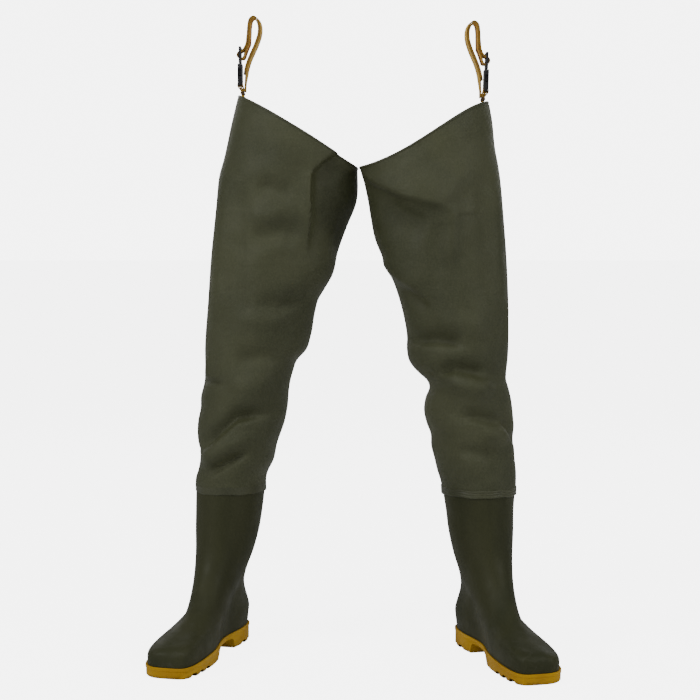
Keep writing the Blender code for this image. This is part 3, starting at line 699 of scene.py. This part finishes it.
def sole_look():
    """Golden rubber, darker in patches low in the tread: dirt there and painted shade."""
    look = Look("sole_rubber", 0.62, specular=0.22)
    tone = look.mottle(18.0, 4.0, (0.36, 0.185, 0.0008), (0.47, 0.265, 0.0015),
                       distortion=0.5)
    # Dirt and painted shade: the lowest 7 mm of the sole darkened to brown in patches.
    low = look.spread(look.part(look.place, "Z"), 0.0005, 0.0070, 1.0, 0.0)
    tread_dirt_and_shade = look.spread(look.noise(look.place, 120.0, 5.0, 0.8), 0.38, 0.66)
    look.colour(look.mix(look.math("MULTIPLY", low, tread_dirt_and_shade), tone, (0.13, 0.062, 0.006)))
    look.patchy(45.0, 4.0, 0.56, 0.70)
    look.grain(55.0, 4.0, 0.0009, 0.35)
    look.grain(800.0, 2.0, 0.0002, 0.5)
    return look.material


def webbing_look():
    """Ochre woven webbing: a herringbone across it and painted shade along both edges."""
    look = Look("woven_webbing", 0.78, specular=0.25, sheen=0.25)
    folded = look.math("ABSOLUTE", look.part(look.along, "X"))
    slanted = look.math("ADD", look.part(look.along, "Y"), folded)
    twill = look.wave(look.add("ShaderNodeCombineXYZ", {0: slanted}), 175.0)
    tone = look.mottle(90.0, 4.0, (0.56, 0.300, 0.004), (0.80, 0.470, 0.010))
    tone = look.mix(look.spread(twill, 0.10, 0.60, 0.25, 0.0), tone, (0.30, 0.130, 0.004))
    # Painted shade: the strap darkens to dark brown towards its two edges.
    painted_edge_shade = look.spread(folded, 0.0112, 0.0124, 0.0, 0.80)
    look.colour(look.mix(painted_edge_shade, tone, (0.085, 0.040, 0.008)))
    look.bump(twill, 0.0003, 0.7)
    look.grain(1400.0, 2.0, 0.0002, 0.5)
    return look.material


def steel_look():
    """Pressed steel with drawing marks."""
    look = Look("pressed_steel", 0.32, metallic=1.0)
    drawn = look.noise(look.stretched(look.place, (40.0, 40.0, 900.0)), 1.0, 3.0)
    look.colour(look.mix(look.spread(drawn, 0.3, 0.7), (0.40, 0.40, 0.41),
                         (0.56, 0.56, 0.57)))
    look.rough(look.spread(drawn, 0.3, 0.7, 0.26, 0.42))
    look.bump(drawn, 0.0001, 0.5)
    return look.material


def felt_look():
    """Grey-green felted insole."""
    look = Look("felted_insole", 0.92, specular=0.15, sheen=0.3)
    fibre = look.noise(look.place, 650.0, 5.0, 1.5)
    look.colour(look.mix(look.spread(fibre, 0.3, 0.7), (0.062, 0.064, 0.054),
                         (0.135, 0.136, 0.118)))
    look.bump(fibre, 0.0008, 0.8)
    return look.material


def weld_look():
    """Shiny welded PVC tape, finely ribbed."""
    look = Look("welded_tape", 0.50, specular=0.35)
    look.colour(look.mottle(22.0, 4.0, (0.033, 0.036, 0.016), (0.048, 0.051, 0.024)))
    look.patchy(60.0, 3.0, 0.44, 0.58)
    look.bump(look.wave(look.along, 170.0, "Y", 0.6), 0.0004, 0.5)
    look.grain(300.0, 2.0, 0.0002, 0.4)
    return look.material


def mottled_look(name, roughness, specular, mottle, grain, patchy=None):
    """The material of a look of two mixed colours with a fine grain."""
    look = Look(name, roughness, specular)
    look.colour(look.mottle(*mottle))
    look.grain(*grain)
    if patchy:
        look.patchy(*patchy)
    return look.material


LOOKS = {
    "fabric": fabric_look(), "boot": boot_look(), "sole": sole_look(), "weld": weld_look(),
    "webbing": webbing_look(), "steel": steel_look(), "felt": felt_look(),
    # The heat-sealed end of the webbing.
    "singed": mottled_look("sealed_web_end", 0.42, 0.4,
                           (700.0, 3.0, (0.014, 0.009, 0.004), (0.075, 0.038, 0.010),
                            0.35, 0.65), (900.0, 3.0, 0.0004, 0.7)),
    # Black moulded acetal with the faint texture of its mould.
    "buckle": mottled_look("moulded_buckle_black", 0.34, 0.5,
                           (160.0, 3.0, (0.009, 0.009, 0.010), (0.017, 0.017, 0.018)),
                           (1500.0, 2.0, 0.00012, 0.6), (260.0, 3.0, 0.28, 0.42)),
    # Twisted bonded thread.
    "thread": mottled_look("bonded_thread", 0.60, 0.35,
                           (500.0, 2.0, (0.050, 0.047, 0.026), (0.085, 0.078, 0.045)),
                           (2200.0, 2.0, 0.0001, 0.8)),
    # Painted shade on the walls of the gaps between the cleats, dark brown.
    "tread_dirt_and_shade": mottled_look("painted_gap_shade", 0.85, 0.1,
                         (160.0, 4.0, (0.030, 0.015, 0.003), (0.090, 0.045, 0.006)),
                         (400.0, 3.0, 0.0004, 0.6)),
}


# ---- boot and sole
def foot_rings(wader, rings, insets, around):
    """Points of boot rings: array of (ring, around, 3)."""
    heel, heel_z, toe, toe_z, heel_half, inside, outside, square, leaving = (
        rings.T[:, :, None])
    insets = np.broadcast_to(insets, len(rings))[:, None]
    heel = heel + insets
    toe = toe - insets
    angle = round_angles(around)[None, :]
    top_middle = wader.section(BOOT_TOP)[0]
    middle = wader.foot_out + (top_middle - wader.foot_out) * leaving
    t = (1 - np.cos(angle)) / 2
    outer_half = angle <= pi
    half = (heel_half + (np.where(outer_half, outside, inside) - heel_half)
            * t * t * (3 - 2 * t)) - insets
    waist = WAIST * (square - 2) / 2 * np.exp(-((t - WAIST_AT) / WAIST_SPREAD) ** 2)
    half = half - np.where(outer_half, 0, waist)
    square = square + np.where(outer_half, 0, INNER_SQUARER) * (square - 2)
    round_off = np.clip(1 - np.abs(2 * t - 1) ** square, 0, 1) ** (1 / square)
    across = half * round_off * np.where(outer_half, 1, -1)
    ahead = heel + (toe - heel) * t
    return wader.place(middle + across * cos(wader.toe_out) + ahead * sin(wader.toe_out),
                       across * sin(wader.toe_out) - ahead * cos(wader.toe_out),
                       heel_z + (toe_z - heel_z) * t)


def boot_table(wader, per_span):
    """The boot's rings, interpolated, up to the ring under the leg's lap."""
    half_width, half_depth = wader.section(BOOT_TOP)[1:3]
    ahead = half_depth - UNDER_LEG
    half = half_width - UNDER_LEG
    top = (-ahead, BOOT_TOP, ahead, BOOT_TOP, half, half, half, 2.0, 1.0)
    return smooth_rows(np.vstack([BOOT_RINGS, top]), per_span)


def make_boot(wader):
    """The moulded boot, both faces of its wall and its floor."""
    table = boot_table(wader, 8)
    outside = foot_rings(wader, table, 0.0, 112)
    lining = table.copy()
    lining[:, 3] -= BOOT_WALL * ease(lining[:, 2], 0.066, 0.116) * (lining[:, 3] > 0.040)
    lining[0] += BOOT_FLOOR * LIFTED
    keep = lining[:, 1] >= lining[0, 1]
    inside = foot_rings(wader, lining[keep], BOOT_WALL, 112)
    boot = capped_stack(f"{wader.name}_boot", np.concatenate([outside, inside[::-1]]),
                        LOOKS["boot"])
    belongs(boot, wader, "boot", "boot", "boot_shell")


def make_sole(wader):
    """The cleated outsole, with a lip along its top edge."""
    rows = np.array([(HEEL_BACK, SOLE_HEEL * share + lift, TOE_FRONT, SOLE_TOE * share + lift,
                      *SOLE_PLAN) for share, lift, _ in SOLE_EDGE])
    rings = foot_rings(wader, rows, np.array(SOLE_EDGE)[:, 2], 144)
    sole = capped_stack(f"{wader.name}_sole", rings, LOOKS["sole"], sharp_from=30)
    cuts = []
    for index, outline in enumerate(sole_gaps()):
        cut = prism(f"cut_{index}", outline, -SOLE_PAST, SOLE_PAST, LOOKS["sole"], (1, 2, 0))
        cut.data.transform(wader.foot_matrix())
        if wader.side > 0:
            cut.data.flip_normals()
        cuts.append(cut)
    combine(sole, cuts, "DIFFERENCE")
    # Painted shade on the walls of the gaps between the cleats.
    paint_gap_shade(wader, sole, LOOKS["tread_dirt_and_shade"])
    soften(sole, 0.0006)
    belongs(sole, wader, "boot", "sole", "outsole")


def sole_gaps():
    """Outlines (along, up) of what is cut from the sole: the arch, then between cleats."""
    breast, arch_back, arch_front, ball = ARCH
    shoulder = ARCH_LIFT - 0.003
    outlines = [[(breast, BELOW_GROUND), (arch_back, shoulder), (arch_back + 0.004, ARCH_LIFT),
                 (arch_front - 0.010, ARCH_LIFT), (arch_front + 0.004, shoulder),
                 (ball, BELOW_GROUND)]]
    for middle, (low, high) in cleat_gaps():
        outlines.append([(middle - low, BELOW_GROUND), (middle - low, 0.0),
                         (middle - high, CLEAT_DEPTH), (middle + high, CLEAT_DEPTH),
                         (middle + low, 0.0), (middle + low, BELOW_GROUND)])
    return outlines


def cleat_gaps():
    """Where each gap between cleats is, and its half width at the ground and at its top."""
    return ([(middle, HEEL_GAP_HALF) for middle in HEEL_GAPS]
            + [(middle, BALL_GAP_HALF) for middle in BALL_GAPS])


def paint_gap_shade(wader, sole, tread_dirt_and_shade):
    """Paint shade, dark brown, on the walls of the cleats' gaps."""
    sole.data.materials.append(tread_dirt_and_shade)
    to_foot = wader.foot_matrix().inverted()
    for polygon in sole.data.polygons:
        _, along, up = to_foot @ polygon.center
        inside = any(abs(along - middle) < half[0] + 0.0002 for middle, half in cleat_gaps())
        if inside and 0.0004 < up < CLEAT_DEPTH + 0.0004:
            polygon.material_index = 1


def make_insole(wader):
    """The felted insole on the boot's floor."""
    low = np.array([-0.0770, 0.0352, 0.2060, 0.0226, 0.0330, 0.0350, 0.0450, 3.4, 0.0])
    rings = foot_rings(wader, np.array([low, low + INSOLE_THICK * LIFTED]), 0.0, 72)
    insole = capped_stack(f"{wader.name}_felt_insole", rings, LOOKS["felt"])
    soften(insole, 0.0012)
    belongs(insole, wader, "boot", "foam", "insole")


def make_toe_cap(wader):
    """The steel cap inside the toe: a band round it, curving over the top."""
    table = boot_table(wader, 6)
    table = table[(table[:, 3] > 0.0285) & (table[:, 2] > 0.180)]
    around = 96
    front = slice(around // 3, around - around // 3 + 1)
    outside, inside = [foot_rings(wader, table, gap, around)[:, front] for gap in CAP_GAPS]
    cap = thin_wall(f"{wader.name}_steel_cap", outside, inside, LOOKS["steel"], False)
    belongs(cap, wader, "boot", "steel", "toe_cap")


# ---- leg
def leg_grid(wader, low, high, rows, angles, offset):
    """A grid of points on the leg between two edges given for every angle."""
    share = np.linspace(0, 1, rows)[:, None]
    height = low + (high - low) * share
    return wader.skin(angles[None, :] + 0 * share, height, offset)


def bends_with_knee(wader, thing):
    """Bake a piece's placement into its mesh; the knee's points are worked out but not used."""
    outward = wader.section(KNEE_HEIGHT)[0]
    Vector(wader.place(outward, 0, BLEND_LOW))
    Vector(wader.place(outward, 0, BLEND_HIGH))
    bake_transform(thing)


def make_leg(wader):
    """The leg: one tube of coated fabric from the boot to the hem."""
    angles = round_angles(LEG_AROUND)
    hem = wader.hem(angles)[None, :] - HEM_BAND / 2
    outside, inside = [leg_grid(wader, LEG_LOW, hem, LEG_ROWS, angles, offset)
                       for offset in (0.0, -FABRIC)]
    girth = np.broadcast_to(angles[None, :] * GIRTH_RADIUS, outside.shape[:2])
    leg = thin_wall(f"{wader.name}_leg", outside, inside, LOOKS["fabric"], True,
                    np.stack([girth, outside[:, :, 2]], -1))
    bends_with_knee(wader, leg)
    belongs(leg, wader, None, "fabric", "shin_sleeve", "knee_sleeve", "thigh_sleeve")
    return leg


def make_hem(wader):
    """The folded and welded edge round the top of the leg."""
    angles = round_angles(LEG_AROUND)[:, None]
    turn = round_angles(12)[None, :]
    offset = -FABRIC / 2 + HEM_RADIUS * np.cos(turn)
    height = wader.hem(angles) - HEM_BAND / 2 + HEM_BAND / 2 * np.sin(turn)
    girth = angles * GIRTH_RADIUS + 0 * turn
    hem = tube(f"{wader.name}_hem", wader.skin(angles + 0 * turn, height, offset),
               LOOKS["weld"], np.stack([girth, height], -1).reshape(-1, 2))
    belongs(hem, wader, "thigh", "weld", "top_hem")
    return hem


def make_weld_band(wader):
    """The tape welded round the join of leg and boot, with its pressed lines."""
    angles = round_angles(LEG_AROUND)
    profile = smooth_rows(np.array([
        (-10.5, 0.2), (-9.8, 0.8), (-7.2, 0.9), (-6.2, 0.4), (-5.2, 0.9), (-3.4, 0.9),
        (-2.4, 0.4), (-1.4, 0.9), (0.6, 0.9), (1.4, 0.3)]) * MM, 3)
    uneven = (0.6 * np.sin(5 * angles + wader.side) + 0.4 * np.sin(11 * angles)) * MM
    outside, inside = [np.array([wader.skin(angles, BOOT_TOP + level + uneven,
                                            low + lift * relief) for level, lift in profile])
                       for low, relief in ((TAPE_LIFT, wader.band), (TAPE_UNDER, 0.0))]
    band = thin_wall(f"{wader.name}_weld_band_tape", outside, inside, LOOKS["weld"], True)
    belongs(band, wader, "boot", "weld", "weld_band")
    return band


def make_seam(wader):
    """The tape welded over the leg's outer seam, from the boot to the hem."""
    across = np.linspace(-1, 1, 9)
    angles = across * SEAM_HALF_ANGLE
    crown = TAPE_LIFT + SEAM_LIFT * (1 - across ** 4)[None, :]
    hem = wader.hem(angles)[None, :] - HEM_BAND - 0.0006
    outside, inside = [leg_grid(wader, BOOT_TOP + 0.004, hem, 190, angles, offset)
                       for offset in (crown, TAPE_UNDER)]
    girth = angles[None, :] * GIRTH_RADIUS
    uv = np.stack(np.broadcast_arrays(girth, outside[:, :, 2]), -1)
    seam = thin_wall(f"{wader.name}_outer_seam", outside, inside, LOOKS["weld"], False, uv)
    bends_with_knee(wader, seam)
    belongs(seam, wader, None, "weld", "shin_seam_tape", "thigh_seam_tape")
    return seam


# ---- webbing
def normals_of(route):
    """Unit normals, to the left of the way along a flat route."""
    ahead = np.gradient(route, axis=0)
    ahead /= np.hypot(*ahead.T)[:, None]
    return np.stack([-ahead[:, 1], ahead[:, 0]], -1)


def ribbon(name, wader, route, twist=0.0, sealed=0.0):
    """Webbing swept along a flat (outward, up) route, with its last stretch sealed."""
    half, thick = WEB_WIDTH / 2, WEB_THICK / 2
    section = [(-half, -thick * 0.3), (-half + WEB_EDGE, -thick)]
    section += [(place * half, -thick) for place in (-0.6, -0.2, 0.2, 0.6)]
    section += [(half - WEB_EDGE, -thick), (half, -thick * 0.3)]
    section += [(y, -lift) for y, lift in section[::-1]]
    section = np.array(section)
    length = np.concatenate([[0], np.cumsum(np.hypot(*np.diff(route, axis=0).T))])
    points = np.ones((len(route), len(section), 4))
    flat = route[:, None, :] + normals_of(route)[:, None, :] * section[None, :, 1:2]
    level = route[:, 1:2]
    hinge = -half * ease(level, 0.090, 0.064)
    lean = np.reshape(twist, (-1, 1)) * ease(level, 0.010, 0.034) * (hinge - section[:, 0])
    points[:, :, 0] = wader.side * (flat[:, :, 0] + lean)
    points[:, :, 1] = section[None, :, 0]
    points[:, :, 2] = flat[:, :, 1]
    uv = np.stack(np.broadcast_arrays(section[None, :, 0], length[:, None]), -1)
    world = points @ np.array(wader.strap_matrix())[:3].T
    web = capped_stack(name, world, LOOKS["webbing"], uv.reshape(-1, 2), 60)
    if sealed:
        web.data.materials.append(LOOKS["singed"])
        for polygon in web.data.polygons:
            reached = min(length[vertex // len(section)] for vertex in polygon.vertices)
            if reached >= length[-1] - sealed:
                polygon.material_index = 1
    return web


def make_straps(wader):
    """The long belt strap with its doubled tail, and the tab under the buckle."""
    spans = 10
    route = smooth_rows(np.array(STRAP_ROUTE) * MM, spans)
    tail = route - normals_of(route) * TAIL_OFFSET
    tail = tail[DOUBLED_FROM * spans:DOUBLED_TO * spans][::-1]
    tail = tail[tail[:, 1] > TAIL_END]
    joined = np.vstack([route, tail[4:]])
    step = np.arange(len(joined)) / spans
    single = ease(step, DOUBLED_TO - 1, DOUBLED_TO + 1) * ease(-step, -17.0, -15.5)
    belt = ribbon(f"{wader.name}_belt_webbing", wader, joined,
                  LOOP_TWIST + SINGLE_TWIST * single, SEALED_END)
    matrix = wader.strap_matrix()
    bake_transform(belt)
    belongs(belt, wader, None, "webbing", "belt_strap")
    tab = ribbon(f"{wader.name}_tab_webbing", wader,
                 smooth_rows(np.array(TAB_ROUTE) * MM, 8))
    belongs(tab, wader, "strap", "webbing", "tab_strap")
    turn = round_angles(20)
    outline = np.stack([ROLL_RADIUS * np.cos(turn), ROLL_RADIUS * np.sin(turn)], -1)
    half = WEB_WIDTH / 2 - WEB_EDGE
    roll = prism(f"{wader.name}_tab_roll", outline, -half, half, LOOKS["singed"], (0, 2, 1))
    soften(roll, 0.0005)
    roll.data.transform(matrix)
    folded = ribbon(f"{wader.name}_tab_folded_end", wader,
                    smooth_rows(np.array(TAB_FOLD) * MM, 4))
    for thing in (roll, folded):
        belongs(thing, wader, "strap", "webbing")


def stitch_line(start, end):
    """Middles and the turn of the short stitches between two (y, z) points."""
    start, end = Vector(start), Vector(end)
    count = max(1, int((end - start).length / STITCH_PITCH))
    turn = atan2(end[1] - start[1], end[0] - start[0])
    return [(start.lerp(end, (index + 0.5) / count), turn) for index in range(count)]


def make_anchor(wader):
    """The webbing's sewn ends inside the hem, the patch over them and the stitching."""
    layers = []
    outline = rounded_box(WEB_WIDTH / 2, -0.0200, -0.0042, 0.0008, 3)
    for outward in (-0.0016, 0.0008):
        faces = sorted(wader.side * (outward + way * WEB_LAYER_HALF) for way in (-1, 1))
        layers.append(prism(f"layer_{len(layers)}", outline, *faces, LOOKS["webbing"],
                            (1, 2, 0)))
    anchor = join(layers, f"{wader.name}_web_anchor")
    faces = sorted((wader.side * -0.0042, wader.side * -0.0030))
    patch = prism(f"{wader.name}_anchor_patch", rounded_box(0.0200, -0.0450, -0.0060, 0.0050),
                  *faces, LOOKS["weld"], (1, 2, 0))
    for thing, width, node, slot in ((anchor, 0.0003, "strap_anchor", "webbing"),
                                     (patch, 0.0004, "strap_patch", "weld")):
        thing.data.transform(Matrix.Translation(wader.pivot()))
        soften(thing, width)
        belongs(thing, wader, "thigh", slot, node)
    make_stitches(wader)


def make_stitches(wader):
    """A sewn box with a cross, on the outside of the leg over the webbing's ends."""
    low, high, half = -0.0300, -0.0105, 0.0105
    corners = [(-half, low), (half, low), (half, high), (-half, high)]
    lines = list(zip(corners, corners[1:] + corners[:1]))
    lines += [(corners[0], corners[2]), (corners[1], corners[3])]
    data = bmesh.new()
    half_depth = wader.section(wader.hem_high)[2]
    for start, end in lines:
        for spot, turn in stitch_line(start, end):
            angle = np.arcsin(np.clip(-spot[0] / half_depth, -1, 1))
            here = Vector(wader.skin(angle, wader.hem_high + spot[1], 0.0003))
            matrix = (Matrix.Translation(here) @ Matrix.Rotation(turn, 4, "X")
                      @ Matrix.Diagonal((STITCH_THICK, STITCH_LENGTH / 2, STITCH_THICK, 1)))
            bmesh.ops.create_icosphere(data, subdivisions=2, radius=1, matrix=matrix)
    mesh = bpy.data.meshes.new(f"{wader.name}_box_stitching")
    data.to_mesh(mesh)
    data.free()
    mesh.materials.append(LOOKS["thread"])
    mesh.shade_smooth()
    belongs(shown(mesh), wader, "thigh", "webbing")


def join(things, name):
    """Several objects as one."""
    data = bmesh.new()
    for thing in things:
        data.from_mesh(thing.data)
    mesh = bpy.data.meshes.new(name)
    data.to_mesh(mesh)
    data.free()
    mesh.materials.append(things[0].data.materials[0])
    mesh.shade_smooth()
    mesh.set_sharp_from_angle(angle=radians(SHARP_FROM_CUT))
    for thing in things:
        bpy.data.objects.remove(thing)
    return shown(mesh)


# ---- buckle
def buckle_piece(wader, thing, node, body):
    """Put a piece made in the strap's own coordinates in its place on its body."""
    thing.data.transform(wader.strap_matrix())
    belongs(thing, wader, body, "buckle", node)


def slab(wader, name, outline, thick, shift=0.0):
    """A plate in the buckle's plane: (y, up) outline, thick each side of its middle."""
    middle = wader.side * (BUCKLE_OUT + shift)
    return prism(name, outline, middle - thick, middle + thick, LOOKS["buckle"], (1, 2, 0))


def rectangle(half, low, high):
    return [(half, high), (-half, high), (-half, low), (half, low)]


def make_socket(wader):
    """The socket: rounded box with a mouth, side windows, tab bar and grip ribs."""
    body = slab(wader, f"{wader.name}_socket",
                rounded_box(BUCKLE_HALF, 0.0114, 0.0466, 0.0030), SOCKET_HALF_THICK)
    soften(body, 0.0009, 3)
    apply_modifiers(body)
    cuts = [slab(wader, name, rounded_box(half, low, high, radius, 3), thick)
            for name, half, low, high, radius, thick in (
                ("mouth", 0.0148, 0.0225, 0.0520, 0.0010, 0.0024),
                ("window", 0.0200, 0.0260, 0.0380, 0.0010, 0.0022),
                ("tab_slot", 0.0132, 0.0158, 0.0204, 0.0012, 0.0080))]
    for way in (-1, 1):
        face = way * SOCKET_HALF_THICK
        cuts.append(slab(wader, f"relief_{way}", rectangle(0.0132, 0.0080, 0.0181), 0.0024,
                         face))
        for step in range(3):
            up = 0.0405 + 0.0018 * step
            cuts.append(slab(wader, f"groove_{way}_{step}", rectangle(0.0110, up, up + 0.0008),
                             0.0003, face))
    combine(body, cuts, "DIFFERENCE")
    soften(body, 0.0002, 1, 50)
    buckle_piece(wader, body, "buckle_socket", "strap")


def make_clip(wader):
    """The clip: ladder lock with two slots, and the guide between its prongs."""
    body = slab(wader, f"{wader.name}_clip", rounded_box(BUCKLE_HALF, 0.0472, 0.0736, 0.0025),
                CLIP_HALF_THICK)
    combine(body, [slab(wader, "guide", rounded_box(0.0020, 0.0245, 0.0500, 0.0009, 3),
                        0.0014)], "UNION")
    combine(body, [slab(wader, f"slot_{low}", rounded_box(0.0132, low, high, 0.0010, 3),
                        0.0060)
                   for low, high in ((0.0516, 0.0578), (0.0626, 0.0696))], "DIFFERENCE")
    soften(body, 0.0005)
    buckle_piece(wader, body, "buckle_clip", "clip")


def make_prongs(wader):
    """The springy arms, each with a hooked tip."""
    root = 0.0467
    for name, way in (("front", -1), ("rear", 1)):
        outline = [(0.0104, root), (0.0138, root), (0.0134, 0.0400), (0.0140, 0.0352),
                   (0.0140, 0.0310), (0.0132, 0.0270), (0.0118, 0.0257), (0.0106, 0.0262),
                   (0.0104, 0.0300)]
        prong = slab(wader, f"{wader.name}_prong_{name}",
                     [(way * y, up) for y, up in outline], PRONG_HALF_THICK)
        soften(prong, 0.0004)
        buckle_piece(wader, prong, f"buckle_prong_{name}", f"prong_{name}")


# ---- stage
def make_stage():
    """A plain pale floor that reads as part of a white surround."""
    mesh = bpy.data.meshes.new("floor")
    mesh.from_pydata([(FLOOR_REACH * x, FLOOR_REACH * y, 0)
                      for x, y in ((-1, -1), (1, -1), (1, 1), (-1, 1))], [], [(0, 1, 2, 3)])
    material = bpy.data.materials.new("pale_floor")
    material.use_nodes = True
    tree = material.node_tree
    shader = tree.nodes["Principled BSDF"]
    shader.inputs["Base Color"].default_value = (0.86, 0.86, 0.86, 1)
    shader.inputs["Roughness"].default_value = 0.85
    shader.inputs["Specular IOR Level"].default_value = 0.1
    shader.inputs["Emission Color"].default_value = (1, 1, 1, 1)
    mesh.materials.append(material)
    seen_directly(tree, 0.0, FLOOR_GLOW, shader.inputs["Emission Strength"])
    shown(mesh)

    world = bpy.data.worlds.new("white_surround")
    bpy.context.scene.world = world
    world.use_nodes = True
    background = world.node_tree.nodes["Background"]
    background.inputs["Color"].default_value = (1, 1, 1, 1)
    seen_directly(world.node_tree, SKY_LIGHT, SKY_SEEN, background.inputs["Strength"])


def seen_directly(tree, lit, seen, target):
    """Set a strength to one value for what it lights and another where it is itself seen."""
    path = tree.nodes.new("ShaderNodeLightPath")
    strength = tree.nodes.new("ShaderNodeMapRange")
    strength.inputs["To Min"].default_value = lit
    strength.inputs["To Max"].default_value = seen
    tree.links.new(path.outputs["Is Camera Ray"], strength.inputs["Value"])
    tree.links.new(strength.outputs["Result"], target)


def make_light(name, place, size, power):
    """A soft square light aimed at the middle of the waders."""
    data = bpy.data.lights.new(name, "AREA")
    data.size = size
    data.energy = power
    light = bpy.data.objects.new(name, data)
    light.location = place
    aim = Vector(LIGHT_TARGET) - Vector(place)
    light.rotation_euler = aim.to_track_quat("-Z", "Y").to_euler()
    bpy.context.scene.collection.objects.link(light)


def make_camera():
    """The viewing angle: straight from the front, from above knee height, a little down."""
    data = bpy.data.cameras.new("camera")
    data.sensor_width = SENSOR
    data.lens = LENS
    camera = bpy.data.objects.new("camera", data)
    camera.location = (MIDDLE_X, MIDDLE_Y - CAMERA_BACK, CAMERA_HEIGHT)
    camera.rotation_euler = (radians(90 - CAMERA_TILT), 0, 0)
    bpy.context.scene.collection.objects.link(camera)
    bpy.context.scene.camera = camera


def main():
    for wader in WADERS:
        for make in (make_boot, make_sole, make_insole, make_toe_cap):
            make(wader)
        leg = make_leg(wader)
        welded_on = [make_hem(wader), make_weld_band(wader), make_seam(wader)]
        for make in (make_straps, make_anchor, make_socket, make_clip, make_prongs):
            make(wader)
    make_stage()
    for light in LIGHTS:
        make_light(*light)
    make_camera()


main()
